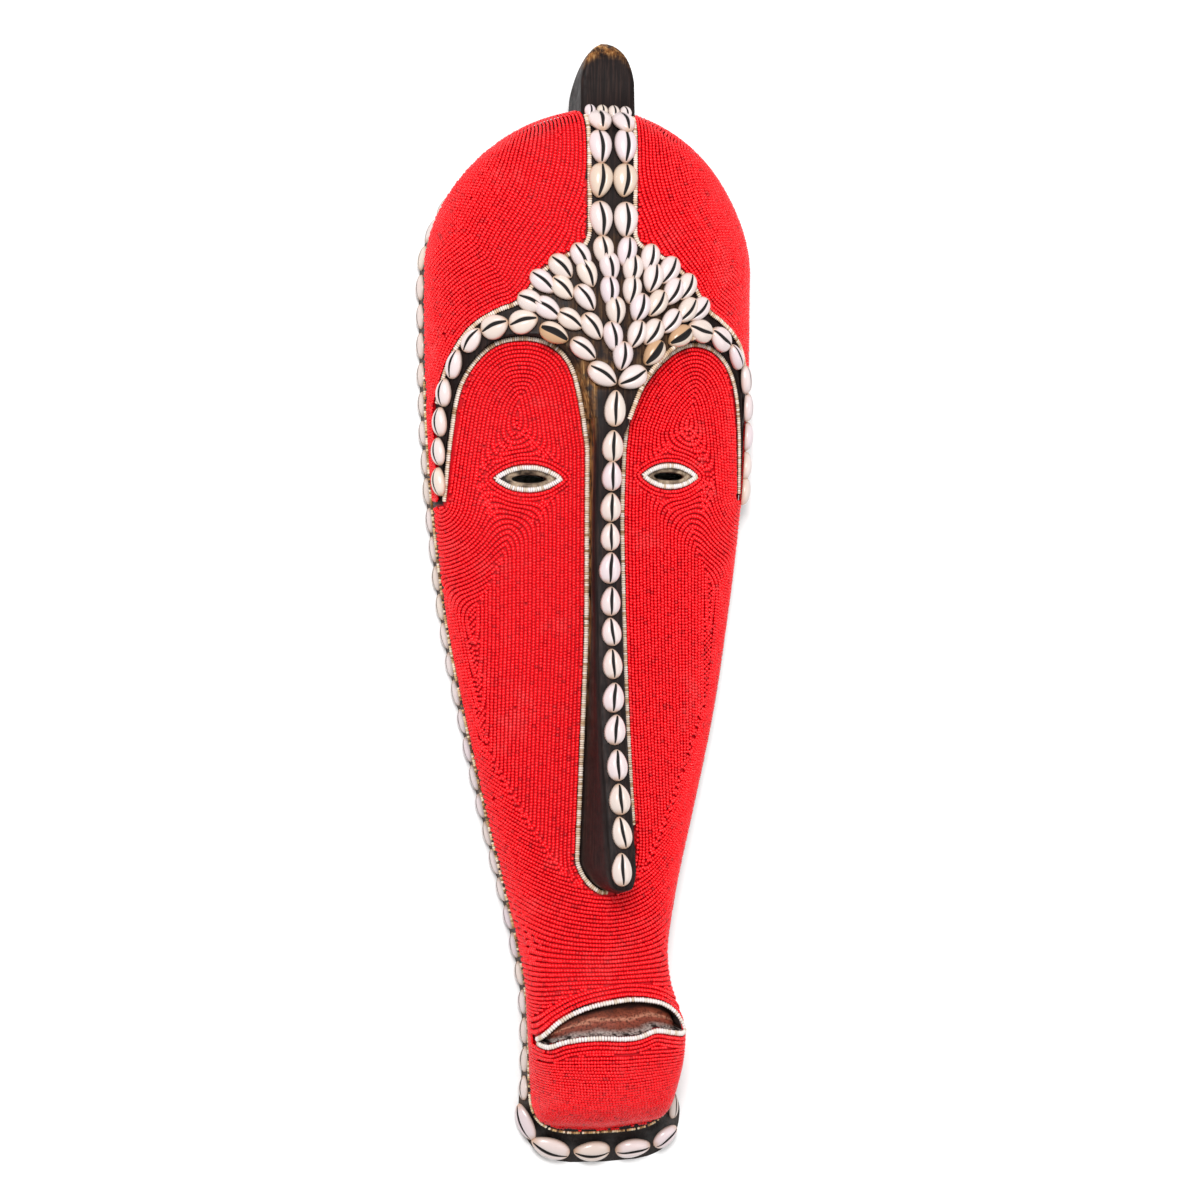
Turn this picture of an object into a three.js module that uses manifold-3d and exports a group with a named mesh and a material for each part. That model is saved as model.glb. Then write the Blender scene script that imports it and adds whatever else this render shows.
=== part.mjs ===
// A long ngil face mask of carved wood, lying on its back rim with the face up. Red seed beads
// cover the forehead and the face, and cowrie shells sit on the stem, fan, brows, nose and rim.
// Millimetres. +X is the viewer's right, +Y points to the crest and +Z out of the face.
import * as THREE from 'three';
import { mergeVertices } from 'three/addons/utils/BufferGeometryUtils.js';
import Module from 'manifold-3d';

const wasm = await Module();
wasm.setup();

// Outline of the mask, seen from the front.
const TOP_Y = 327;
const CHIN_Y = -361;
const TOP_CAP_Y = 223;
const CHIN_CAP_Y = -326;
const TOP_CAP_POWER = 1.78;
const CHIN_CAP_POWER = 3.4;
const HALF_WIDTHS = [
  [-326, 49.5], [-300, 49], [-262, 48.5], [-235, 51.5], [-200, 58.5], [-150, 71],
  [-100, 82.5], [-50, 92.5], [0, 100.5], [50, 106.6], [90, 110.3], [150, 113], [223, 113.8],
];
const CENTRE_LINE = [[-361, 9], [-300, 7.5], [-230, 2.5], [-180, 1.5], [-100, 1.5], [0, 0]];
const EDGE_HEIGHTS = [[-361, 24], [-320, 22], [190, 22], [260, 28], [327, 45]];

// Forehead dome, seen from the side and across.
const CROWN_HEIGHTS = [[110, 89], [150, 88], [190, 86], [223, 84]];
const CROWN_CAP_POWER = 5;
const DOME_POWER = 2.3;

// Face panel below the brows, with its full muzzle round the mouth.
const FACE_HEIGHTS = [
  [-361, 24], [-350, 47], [-338, 64], [-320, 78], [-302, 85], [-287, 85], [-275, 79],
  [-258, 68], [-235, 64], [-190, 66], [-100, 67], [0, 68], [50, 69], [100, 71], [150, 75], [200, 78],
];
const CHEEK_FALL = [[-361, 0.15], [-290, 0.17], [-248, 0.16], [-150, 0.22], [-60, 0.17], [80, 0.12]];
const CHEEK_FALL_POWER = 1.1;
const FACE_SIDE_POWER = 9;
const FACE_EDGE_ANGLE = 1.33;
const MUZZLE_BULGE = [[-340, 0], [-310, 5], [-287, 8], [-262, 4], [-230, 0]];

// Wood below the beads, and the walls of the hollow back.
const BEAD_LAYER = 2.3;
const GAP = 0.3;
const WOOD_DEPTH = BEAD_LAYER + GAP;
const WALLS = [[-361, 15], [-250, 15], [-200, 12], [327, 12]];
const BAND_HEIGHT = 20;
const BAND_FLARES = [[-361, 28], [-349, 17], [-336, 10], [-320, 5], [-300, 2]];
const SHAPE_COLUMNS = 12;
const SHAPE_ROWS = [
  -361, -358, -349, -336, -322, -303, -288, -276, -262, -245, -215, -175, -130, -80, -30,
  20, 70, 115, 150, 185, 220, 255, 285, 308, 321, 327,
];
const HOLLOW_COLUMNS = 6;
const HOLLOW_ROWS = [-361, -356, -336, -300, -260, -210, -140, -60, 20, 100, 160, 215, 265, 300, 320, 327];

// Nose ridge: height along it, its sideways wander, and half its width at the face.
const RIDGE_HEIGHTS = [
  [-190, 106], [-151, 101], [-108, 94], [-64, 88], [-10, 83], [21, 81], [60, 82], [100, 84.4], [150, 85.2],
];
const RIDGE_LINE = [[-190, 2.5], [-151, 1.5], [-64, -0.5], [21, -1], [150, 0]];
const NOSE_HALF_WIDTHS = [[-195, 9], [-188, 17], [-174, 19], [-120, 17], [-67, 14.8], [21, 12], [60, 11], [140, 12]];
const NOSE_STATIONS = [-195, -193, -188, -174, -150, -120, -90, -64, -38, -12, 14, 40, 70, 100];
const RIDGE_HALF_WIDTH = 8.5;
const NOSE_ROOT_Y = 140;
const NOSE_SINK = 6;

// Crest: a fin on the top of the head, seen from the side as points of Y and Z.
const CREST_WIDTH = 37;
const CREST_EDGE = 7;
const CREST_PROFILE = [[300, 71], [335, 71], [358, 66], [369, 54], [370, 42], [360, 27], [338, 16], [305, 14]];

// Brow and nose lines that bound the face panel, from the rim to the nose root on each side.
const PANEL_LEFT = [[-105, 66], [-102, 107], [-96, 143], [-79, 167], [-57, 174], [-35, 169], [-21, 152], [-13, 119.5]];
const PANEL_RIGHT = [[105, 72], [103, 115], [97, 147], [84, 166], [65, 173], [45, 166], [25, 145], [13, 118.5]];

// Lower edge of the beadwork on the forehead, from the stem out to the rim on each side.
const FOREHEAD_LEFT = [
  [-22.4, 318], [-17.5, 301], [-17, 246], [-31, 238], [-45, 227], [-57.5, 215], [-65, 199],
  [-77, 191], [-95, 178], [-106.5, 156], [-111, 128],
];
const FOREHEAD_RIGHT = [
  [22.4, 318], [17.5, 301], [17, 246], [34, 239], [49, 228], [62, 214], [70, 198],
  [82, 188], [97, 174], [107.5, 155], [111.5, 130],
];

// Eyes, mouth and the cream strings of beads that edge them.
const STRING_WIDTH = 2.2;
const STRING_HEIGHT = 1.4;
const EYES = [
  { side: 'left', x: -50.5, y: 80, halfLength: 23, halfHeight: 8.8, slitX: -49.3 },
  { side: 'right', x: 48, y: 83.5, halfLength: 21.5, halfHeight: 8, slitX: 47 },
];
const SLIT_HALF_LENGTH = 11.5;
const SLIT_HALF_HEIGHT = 2.8;
const MOUTH_UPPER = [[-43.4, -292], [-31, -279.5], [-12, -272], [12, -268.5], [34, -271.5], [46, -279], [53, -287]];
const MOUTH_LOWER = [[47, -290], [30, -287.5], [12, -288.5], [-10, -289.5], [-30, -293.5]];
const MOUTH_DEPTH = 5;

// Cowrie shells, laid with the slit outward.
const SHELL_HEIGHT = 6;
const SHELL_LIFT = 1.3;
const NOSE_SHELL = { length: 21.2, width: 14.6, height: SHELL_HEIGHT };
const FAN_SHELL = { length: 19, width: 15, height: SHELL_HEIGHT };
const BROW_SHELL = { length: 24, width: 13.5, height: SHELL_HEIGHT };
const RIM_SHELL = { length: 22, width: 14, height: 4.6 };
const CHIN_SHELL = { length: 25, width: 17, height: SHELL_HEIGHT };
const NOSE_SHELLS = 15;
const NOSE_SHELL_TOP_Y = 129;
const NOSE_SHELL_BOTTOM_Y = -178;
const STEM_SHELL_ROWS = [253.5, 278, 301, 318];
const STEM_SHELL_LENGTHS = [22.5, 22, 20, 13];
const STEM_SHELL_X = 8.6;
const FAN_APEX = [1, 145];
const FAN_FLATTENING = 19000;
const FAN_ARCS = [
  { radius: 87, angles: [-47, -36.5, -26, -15.5, -5.5, 5, 16, 27, 38, 49] },
  { radius: 75, angles: [-43, -30, -14.5, -1, 10, 21.5, 33, 44] },
  { radius: 61, angles: [-36, -20, -3.5, 11, 28, 43] },
  { radius: 47, angles: [-23, 0, 19] },
  { radius: 31, angles: [-3, 26] },
  { radius: 17, angles: [15] },
];
const FAN_SHELLS_LOW = [
  { x: -8.5, y: 148, turn: -38 }, { x: 12, y: 147, turn: 36 },
  { x: -22, y: 164, turn: -50 }, { x: -40, y: 176, turn: -66 },
  { x: 27, y: 163, turn: 52 }, { x: 43, y: 174.5, turn: 64 },
];
const BROW_LEFT = [[-65, 183], [-78, 179], [-92, 171], [-101, 156], [-106, 138], [-108, 119], [-108, 99], [-107, 79]];
const BROW_RIGHT = [[67, 181], [80, 177], [93, 167], [102, 152], [106.5, 133], [108, 113], [107.5, 93], [107, 76]];
const RIM_SHELL_PITCH = 21;
const RIM_SHELL_LEVEL = 10.5;
const RIM_SHELL_LIFT = 1.6;
const CHIN_SHELLS = 5;
const CHIN_SHELL_PITCH = 29.5;
const CHIN_SHELL_LEVEL = 8;

const wood = new THREE.MeshStandardMaterial({ color: '#1d1614', roughness: 0.55, metalness: 0 });
const redBeads = new THREE.MeshStandardMaterial({ color: '#d90a1c', roughness: 0.35, metalness: 0 });
const creamBeads = new THREE.MeshStandardMaterial({ color: '#e9dfcf', roughness: 0.4, metalness: 0 });
const cowrie = new THREE.MeshStandardMaterial({ color: '#efe4da', roughness: 0.3, metalness: 0 });

// Reads a smooth, never overshooting curve through [place, value] stations.
function smooth(stations, place) {
  const last = stations.length - 1;
  const at = Math.min(Math.max(place, stations[0][0]), stations[last][0]);
  let span = 0;
  while (span < last - 1 && stations[span + 1][0] <= at) span += 1;
  const slope = (k) => (stations[k + 1][1] - stations[k][1]) / (stations[k + 1][0] - stations[k][0]);
  const tangent = (k) => {
    if (k === 0 || k === last) return 0;
    const before = slope(k - 1);
    const after = slope(k);
    return before * after > 0 ? (2 * before * after) / (before + after) : 0;
  };
  const width = stations[span + 1][0] - stations[span][0];
  const t = (at - stations[span][0]) / width;
  return (2 * t ** 3 - 3 * t ** 2 + 1) * stations[span][1]
    + (t ** 3 - 2 * t ** 2 + t) * width * tangent(span)
    + (3 * t ** 2 - 2 * t ** 3) * stations[span + 1][1]
    + (t ** 3 - t ** 2) * width * tangent(span + 1);
}

const clamp = THREE.MathUtils.clamp;

function halfWidth(y) {
  const up = clamp((y - TOP_CAP_Y) / (TOP_Y - TOP_CAP_Y), 0, 1);
  const down = clamp((CHIN_CAP_Y - y) / (CHIN_CAP_Y - CHIN_Y), 0, 1);
  return smooth(HALF_WIDTHS, y) * Math.sqrt(1 - up ** TOP_CAP_POWER)
    * (1 - down ** CHIN_CAP_POWER) ** (1 / CHIN_CAP_POWER);
}

const edgeHeight = (y) => smooth(EDGE_HEIGHTS, y);
const centreX = (y) => smooth(CENTRE_LINE, y);

// Share of the full height left where the top of the head turns back.
function topRound(y) {
  const up = clamp((y - TOP_CAP_Y) / (TOP_Y - TOP_CAP_Y), 0, 1);
  return (1 - up ** CROWN_CAP_POWER) ** (1 / CROWN_CAP_POWER);
}

// Point of the forehead dome at an angle across the mask (0 in the middle, a right angle at the rim).
function domePoint(angle, y) {
  const edge = edgeHeight(y);
  const crown = (smooth(CROWN_HEIGHTS, y) - edge) * topRound(y);
  const across = Math.sin(angle);
  const rise = Math.sqrt(Math.max(0, 1 - Math.abs(across) ** DOME_POWER));
  return new THREE.Vector3(centreX(y) + halfWidth(y) * across, y, edge + crown * rise);
}

// Point of the face panel at an angle across the mask.
function facePoint(angle, y) {
  const edge = edgeHeight(y);
  const across = Math.sin(angle);
  const inward = Math.abs(Math.cos(angle));
  const offset = (halfWidth(y) + smooth(MUZZLE_BULGE, y) * 4 * inward * (1 - inward)) * across;
  const fall = smooth(CHEEK_FALL, y) * Math.abs(offset) ** CHEEK_FALL_POWER;
  const top = Math.max(smooth(FACE_HEIGHTS, y) - fall, edge);
  const rise = Math.sqrt(Math.max(0, 1 - Math.abs(across) ** FACE_SIDE_POWER)) * topRound(y);
  return new THREE.Vector3(centreX(y) + offset, y, edge + (top - edge) * rise);
}

// Inside of the hollow follows the dome above the brows and the face below them.
function backPoint(angle, y) {
  const share = smooth([[172, 0], [215, 1]], y);
  return facePoint(angle, y).lerp(domePoint(angle, y), share);
}

// Outward normal of a surface given as a function of angle and y.
function surfaceNormal(surface, angle, y) {
  if (y > TOP_Y - 0.5) return new THREE.Vector3(0, 1, 0);
  if (y < CHIN_Y + 0.5) return new THREE.Vector3(0, -1, 0);
  const step = 0.004;
  const limit = Math.PI / 2 - step;
  const a = clamp(angle, -limit, limit);
  const alongAngle = surface(a + step, y).sub(surface(a - step, y));
  const alongY = surface(a, y + 0.3).sub(surface(a, y - 0.3));
  return alongAngle.cross(alongY).normalize();
}

// How far the outline draws in below the widest level, at the level of the band.
const rimInset = (y) => smooth([[190, 0], [327, 6]], y);

// Point of the outline on one side (-1 or 1), moved outward by a distance, at a height.
function outlinePoint(side, y, outward, z) {
  const point = domePoint((side * Math.PI) / 2, y);
  const normal = new THREE.Vector3(0, Math.sign(y), 0);
  if (y < TOP_Y - 0.5 && y > CHIN_Y + 0.5) {
    const along = domePoint((side * Math.PI) / 2, y + 0.4).sub(domePoint((side * Math.PI) / 2, y - 0.4));
    normal.set(side * along.y, -side * along.x, 0).normalize();
  }
  return point.addScaledVector(normal, outward).setZ(z);
}

function toManifold(geometry) {
  const bare = geometry.index ? geometry.toNonIndexed() : geometry.clone();
  bare.deleteAttribute('normal');
  bare.deleteAttribute('uv');
  const merged = mergeVertices(bare, 1e-4);
  return new wasm.Manifold(new wasm.Mesh({
    numProp: 3,
    vertProperties: new Float32Array(merged.attributes.position.array),
    triVerts: new Uint32Array(merged.index.array),
  }));
}

function toGeometry(solid) {
  const mesh = solid.getMesh();
  const geometry = new THREE.BufferGeometry();
  geometry.setAttribute('position', new THREE.BufferAttribute(new Float32Array(mesh.vertProperties), 3));
  geometry.setIndex(new THREE.BufferAttribute(new Uint32Array(mesh.triVerts), 1));
  const flat = geometry.toNonIndexed();
  flat.computeVertexNormals();
  return flat;
}

// Closed solid from rows of points, each row a ring, with a single point closing each end.
function ringSolid(rings) {
  const triangles = [];
  let volume = 0;
  const triangle = (a, b, c) => {
    const area = b.clone().sub(a).cross(c.clone().sub(a)).length();
    if (area < 1e-6) return;
    triangles.push([a, b, c]);
    volume += a.dot(b.clone().cross(c));
  };
  const count = rings[1].length;
  for (let row = 0; row + 1 < rings.length; row += 1) {
    for (let k = 0; k < count; k += 1) {
      const next = (k + 1) % count;
      const [a, b] = [rings[row][k], rings[row][next]];
      const [c, d] = [rings[row + 1][next], rings[row + 1][k]];
      triangle(a, b, c);
      triangle(a, c, d);
    }
  }
  const outward = volume < 0 ? triangles.map(([a, b, c]) => [a, c, b]) : triangles;
  const positions = outward.flat().flatMap((point) => point.toArray());
  const geometry = new THREE.BufferGeometry();
  geometry.setAttribute('position', new THREE.Float32BufferAttribute(positions, 3));
  return toManifold(geometry);
}

// Solid under a surface, sunk by a depth. Its side runs down through the levels of the skirt, each
// a height and how far the outline stands out there.
function formSolid(surface, depthAt, skirt, columns, rows) {
  const rings = rows.map((y) => {
    const depth = depthAt(y);
    const ring = [];
    // At the two ends of the mask the ring has no width, which closes the solid.
    for (let column = 0; column <= columns; column += 1) {
      const angle = Math.PI * (0.5 - column / columns);
      ring.push(surface(angle, y).addScaledVector(surfaceNormal(surface, angle, y), -depth));
    }
    for (const [z, outward] of skirt) ring.push(outlinePoint(-1, y, outward(y) - depth, z));
    for (const [z, outward] of [...skirt].reverse()) ring.push(outlinePoint(1, y, outward(y) - depth, z));
    return ring;
  });
  return ringSolid(rings);
}

// Ring drawn together into its middle, which closes an end.
function pinched(ring) {
  const middle = new THREE.Vector3();
  for (const point of ring) middle.addScaledVector(point, 1 / ring.length);
  return ring.map(() => middle);
}

function prism(points, bottom, top) {
  const shape = new THREE.Shape(points.map(([x, y]) => new THREE.Vector2(x, y)));
  const geometry = new THREE.ExtrudeGeometry(shape, { depth: top - bottom, bevelEnabled: false });
  geometry.translate(0, 0, bottom);
  return toManifold(geometry);
}

// Even points of a smooth line through a few points.
function curved(points, count) {
  const line = new THREE.SplineCurve(points.map(([x, y]) => new THREE.Vector2(x, y)));
  return line.getSpacedPoints(count).map((point) => [point.x, point.y]);
}

// Outline moved inward by a distance (outward where it is negative). Points run anticlockwise.
function inset(points, distance) {
  return points.map((point, k) => {
    const before = points[(k + points.length - 1) % points.length];
    const after = points[(k + 1) % points.length];
    const first = new THREE.Vector2(point[0] - before[0], point[1] - before[1]).normalize();
    const second = new THREE.Vector2(after[0] - point[0], after[1] - point[1]).normalize();
    const bisector = new THREE.Vector2(-first.y - second.y, first.x + second.x).normalize();
    const stretch = Math.max(0.5, -bisector.x * first.y + bisector.y * first.x);
    return [point[0] + (bisector.x * distance) / stretch, point[1] + (bisector.y * distance) / stretch];
  });
}

const OUTSIDE = 150;
const ABOVE = 140;

// Brow line, side of the nose, under its tip and back up to the other brow.
function panelLine() {
  const noseSide = (side) => NOSE_STATIONS.map((y) => {
    return [smooth(RIDGE_LINE, y) + side * smooth(NOSE_HALF_WIDTHS, y), y];
  });
  const tip = [smooth(RIDGE_LINE, NOSE_STATIONS[0]), NOSE_STATIONS[0] - 0.4];
  const nose = [...noseSide(-1).reverse(), tip, ...noseSide(1)];
  return [...curved(PANEL_LEFT, 11), ...nose, ...curved(PANEL_RIGHT, 11).reverse()];
}

// Closes a line that runs from rim to rim below the brows, well outside the mask.
function closeBelow(line) {
  return [...line, [OUTSIDE, 72], [OUTSIDE, -420], [-OUTSIDE, -420], [-OUTSIDE, 66]].reverse();
}

// Dome ends at the same brow line, and runs down between the brows to the root of the nose.
const belowBrows = () => closeBelow([...curved(PANEL_LEFT, 11), ...curved(PANEL_RIGHT, 11).reverse()]);

function closeForehead(line, side) {
  const outline = [...line, [side * OUTSIDE, line.at(-1)[1] - 12], [side * OUTSIDE, 400], [line[0][0], 400]];
  return side < 0 ? outline.reverse() : outline;
}

function eyeOutline(eye, extra) {
  const steps = 6;
  const points = [];
  for (const lid of [-1, 1]) {
    for (let k = 0; k < steps; k += 1) {
      const t = -lid * (1 - (2 * k) / steps);
      const bow = 1 - Math.abs(t) ** 1.7;
      points.push([eye.x + t * (eye.halfLength + extra), eye.y + lid * (eye.halfHeight + extra) * bow]);
    }
  }
  return points;
}

function slitOutline(eye) {
  const points = [];
  for (let k = 0; k < 8; k += 1) {
    const angle = (k * Math.PI) / 4;
    points.push([eye.slitX + SLIT_HALF_LENGTH * Math.cos(angle), eye.y + SLIT_HALF_HEIGHT * Math.sin(angle)]);
  }
  return points;
}

function mouthOutline() {
  const upper = curved(MOUTH_UPPER, 14);
  const lower = curved([MOUTH_UPPER.at(-1), ...MOUTH_LOWER, MOUTH_UPPER[0]], 14);
  return [...upper, ...lower.slice(1, -1)].reverse();
}

function noseSolid() {
  const rings = [...NOSE_STATIONS, NOSE_ROOT_Y].map((y) => {
    const middle = smooth(RIDGE_LINE, y);
    const top = smooth(RIDGE_HEIGHTS, y) - (y < -190 ? 8 * (-190 - y) - 16 : 0);
    const foot = facePoint(0, y).z - WOOD_DEPTH - NOSE_SINK;
    const half = smooth(NOSE_HALF_WIDTHS, y);
    const ridge = Math.min(RIDGE_HALF_WIDTH, half - 1);
    const shoulder = foot + (top - foot) * 0.78;
    const section = [
      [half, foot], [half - 0.6, foot + NOSE_SINK], [ridge + 1.5, shoulder], [ridge - 2, top],
      [2 - ridge, top], [-ridge - 1.5, shoulder], [0.6 - half, foot + NOSE_SINK], [-half, foot],
    ];
    return section.map(([x, z]) => new THREE.Vector3(middle + x, y, z));
  });
  return ringSolid([pinched(rings[0]), ...rings, pinched(rings.at(-1))]);
}

function crestSolid() {
  const shape = new THREE.Shape();
  const points = CREST_PROFILE.map(([y, z]) => new THREE.Vector2(y, z));
  shape.moveTo(points[0].x, points[0].y);
  shape.lineTo(points[1].x, points[1].y);
  shape.splineThru(points.slice(2, -1));
  shape.lineTo(points.at(-1).x, points.at(-1).y);
  const geometry = new THREE.ExtrudeGeometry(shape, {
    depth: CREST_WIDTH - 2 * CREST_EDGE,
    bevelThickness: CREST_EDGE,
    bevelSize: CREST_EDGE,
    bevelOffset: -CREST_EDGE,
    bevelSegments: 2,
    curveSegments: 3,
  });
  geometry.translate(0, 0, CREST_EDGE - CREST_WIDTH / 2);
  geometry.rotateX(Math.PI / 2);
  geometry.rotateZ(Math.PI / 2);
  return toManifold(geometry);
}

// Side band round the back of the mask. It stands out below the chin.
const bandFlare = (y) => smooth(BAND_FLARES, y);

const bandOutward = (y, z) => bandFlare(y) * (1 - z / BAND_HEIGHT) - rimInset(y);
const BAND = [[BAND_HEIGHT, (y) => bandOutward(y, BAND_HEIGHT)], [0, (y) => bandOutward(y, 0)]];
const straightDown = (z) => [[z, (y) => -rimInset(y)]];

const domeWood = formSolid(domePoint, () => WOOD_DEPTH, BAND, SHAPE_COLUMNS, SHAPE_ROWS);
const faceWood = formSolid(facePoint, () => WOOD_DEPTH, BAND, SHAPE_COLUMNS, SHAPE_ROWS);
const hollow = formSolid(backPoint, (y) => smooth(WALLS, y), straightDown(-2), HOLLOW_COLUMNS, HOLLOW_ROWS);
const panel = closeBelow(panelLine());
const mouth = mouthOutline();

function carveWood() {
  const floorDepth = () => WOOD_DEPTH + MOUTH_DEPTH;
  const mouthFloor = formSolid(facePoint, floorDepth, straightDown(0), SHAPE_COLUMNS, SHAPE_ROWS);
  const brows = prism(belowBrows(), -10, ABOVE);
  let solid = domeWood.subtract(brows).add(faceWood.intersect(brows));
  solid = solid.add(noseSolid()).add(crestSolid());
  solid = solid.subtract(hollow);
  solid = solid.subtract(prism(inset(mouth, 0.2), 30, ABOVE).subtract(mouthFloor));
  for (const eye of EYES) solid = solid.subtract(prism(slitOutline(eye), -10, ABOVE));
  // The wall where the two forms meet leaves scraps with no volume: the largest body is the mask.
  return solid.decompose().reduce((most, body) => (body.volume() > most.volume() ? body : most));
}

function beadLayer(surface) {
  const outer = formSolid(surface, () => 0, straightDown(BAND_HEIGHT + GAP), SHAPE_COLUMNS, SHAPE_ROWS);
  const inner = formSolid(surface, () => BEAD_LAYER, straightDown(0), SHAPE_COLUMNS, SHAPE_ROWS);
  return outer.subtract(inner);
}

// Angle across the mask at which a surface reaches x.
function angleAt(surface, x, y) {
  let high = surface === facePoint ? FACE_EDGE_ANGLE : Math.PI / 2;
  let low = -high;
  for (let k = 0; k < 40; k += 1) {
    const middle = (low + high) / 2;
    if (surface(middle, y).x < x) low = middle;
    else high = middle;
  }
  return (low + high) / 2;
}

const heightAt = (surface, x, y) => surface(angleAt(surface, x, y), y).z;

// Square string of beads between two lines on a surface. A looped one closes on itself.
function stringSolid(surface, near, far, looped) {
  const rings = near.map(([x, y], k) => {
    const [farX, farY] = far[k];
    const nearZ = heightAt(surface, x, y);
    const farZ = heightAt(surface, farX, farY);
    return [
      new THREE.Vector3(x, y, nearZ), new THREE.Vector3(farX, farY, farZ),
      new THREE.Vector3(farX, farY, farZ - STRING_HEIGHT), new THREE.Vector3(x, y, nearZ - STRING_HEIGHT),
    ];
  });
  if (looped) return ringSolid([...rings, rings[0]]);
  return ringSolid([pinched(rings[0]), ...rings, pinched(rings.at(-1))]);
}

// Profiles of a shell from its middle out: well rounded, flat topped, and plain for the rim.
const ROUND_PROFILE = [[0, 0], [1, 0], [0.74, 0.76], [0, 1]];
const FLAT_PROFILE = [[0, 0], [1, 0], [0.6, 1], [0, 1]];
const PLAIN_PROFILE = [[0, 0], [1, 0], [0, 1]];

// Cowrie with its long axis on Y, its flat back at z = 0 and its slit side up.
function shellGeometry({ profile, sides, length, width, height }) {
  const geometry = new THREE.LatheGeometry(profile.map(([r, z]) => new THREE.Vector2(r, z)), sides);
  geometry.rotateX(Math.PI / 2);
  const position = geometry.attributes.position;
  for (let k = 0; k < position.count; k += 1) {
    const y = position.getY(k);
    const egg = 1 - 0.14 * y - 0.06 * y * y;
    position.setXYZ(k, (position.getX(k) * egg * width) / 2, (y * length) / 2, position.getZ(k) * height);
  }
  return geometry;
}

// Matrix that sets a shell on a surface point, its long axis turned from +Y towards +X.
function shellPlace(point, normal, along) {
  const side = along.clone().cross(normal).normalize();
  const forward = normal.clone().cross(side).normalize();
  return new THREE.Matrix4().makeBasis(side, forward, normal).setPosition(point);
}

function directionAt(turn) {
  const angle = THREE.MathUtils.degToRad(turn);
  return new THREE.Vector3(Math.sin(angle), Math.cos(angle), 0);
}

function domeShellPlace(x, y, turn) {
  const angle = Math.asin(clamp((x - centreX(y)) / halfWidth(y), -0.995, 0.995));
  const normal = surfaceNormal(domePoint, angle, y);
  const lift = SHELL_LIFT - WOOD_DEPTH;
  return shellPlace(domePoint(angle, y).addScaledVector(normal, lift), normal, directionAt(turn));
}

const mask = new THREE.Group();

function addMesh(name, geometry, material) {
  const mesh = new THREE.Mesh(geometry, material);
  mesh.name = name;
  mask.add(mesh);
  return mesh;
}

function addShell(name, size) {
  const geometry = toGeometry(toManifold(shellGeometry({ profile: ROUND_PROFILE, sides: 8, ...size })));
  addMesh(name, geometry, cowrie).applyMatrix4(size.matrix);
}

// Joins shells that touch into as few solids as they make.
function addJoinedShells(name, shells) {
  let joined = null;
  for (const size of shells) {
    const geometry = shellGeometry({ profile: FLAT_PROFILE, sides: 6, ...size });
    geometry.applyMatrix4(size.matrix);
    const solid = toManifold(geometry);
    joined = joined ? joined.add(solid) : solid;
  }
  const bodies = joined.decompose();
  bodies.forEach((body, k) => {
    const label = bodies.length > 1 ? `${name}_${k + 1}` : name;
    addMesh(label, toGeometry(body), cowrie);
  });
}

function addForeheadBeads() {
  const layer = beadLayer(domePoint);
  for (const [side, sign, points] of [['left', -1, FOREHEAD_LEFT], ['right', 1, FOREHEAD_RIGHT]]) {
    const line = curved(points, 13);
    const outline = closeForehead(line, sign);
    const along = (distance) => {
      const moved = inset(outline, distance);
      return (sign < 0 ? moved.reverse() : moved).slice(0, line.length);
    };
    const string = stringSolid(domePoint, along(GAP), along(GAP + STRING_WIDTH), false);
    addMesh(`forehead_edging_${side}`, toGeometry(string), creamBeads);
    const cover = prism(inset(outline, 2 * GAP + STRING_WIDTH), 0, ABOVE);
    addMesh(`forehead_beadwork_${side}`, toGeometry(layer.intersect(cover)), redBeads);
  }
}

function addFaceBeads() {
  const along = (distance) => inset(panel, distance).reverse().slice(0, panel.length - 4);
  const string = stringSolid(facePoint, along(GAP), along(GAP + STRING_WIDTH), false);
  addMesh('brow_and_nose_edging', toGeometry(string), creamBeads);

  let cover = beadLayer(facePoint).intersect(prism(inset(panel, 2 * GAP + STRING_WIDTH), 0, ABOVE));
  for (const eye of EYES) {
    const loop = stringSolid(facePoint, eyeOutline(eye, 0), eyeOutline(eye, -STRING_WIDTH), true);
    addMesh(`eye_edging_${eye.side}`, toGeometry(loop), creamBeads);
    cover = cover.subtract(prism(eyeOutline(eye, GAP), -1, ABOVE));
  }
  const lips = stringSolid(facePoint, inset(mouth, -STRING_WIDTH), mouth, true);
  addMesh('mouth_edging', toGeometry(lips), creamBeads);
  cover = cover.subtract(prism(inset(mouth, -STRING_WIDTH - GAP), 30, ABOVE));
  addMesh('face_beadwork', toGeometry(cover), redBeads);
}

function buildNoseShells() {
  for (let k = 0; k < NOSE_SHELLS; k += 1) {
    const y = THREE.MathUtils.lerp(NOSE_SHELL_TOP_Y, NOSE_SHELL_BOTTOM_Y, k / (NOSE_SHELLS - 1));
    const slope = (smooth(RIDGE_HEIGHTS, y + 4) - smooth(RIDGE_HEIGHTS, y - 4)) / 8;
    const normal = new THREE.Vector3(0, -slope, 1).normalize();
    const height = Math.max(smooth(RIDGE_HEIGHTS, y), k === 0 ? domePoint(0, y).z - WOOD_DEPTH : 0);
    const point = new THREE.Vector3(smooth(RIDGE_LINE, y), y, height);
    point.addScaledVector(normal, SHELL_LIFT);
    addShell(`nose_shell_${k + 1}`, { matrix: shellPlace(point, normal, directionAt(0)), ...NOSE_SHELL });
  }
}

function buildStemShells() {
  STEM_SHELL_ROWS.forEach((y, row) => {
    for (const [side, sign] of [['left', -1], ['right', 1]]) {
      const matrix = domeShellPlace(sign * STEM_SHELL_X, y, 0);
      const size = { length: STEM_SHELL_LENGTHS[row], width: 15.4, height: SHELL_HEIGHT };
      addShell(`stem_shell_${side}_${row + 1}`, { matrix, ...size });
    }
  });
}

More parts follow.
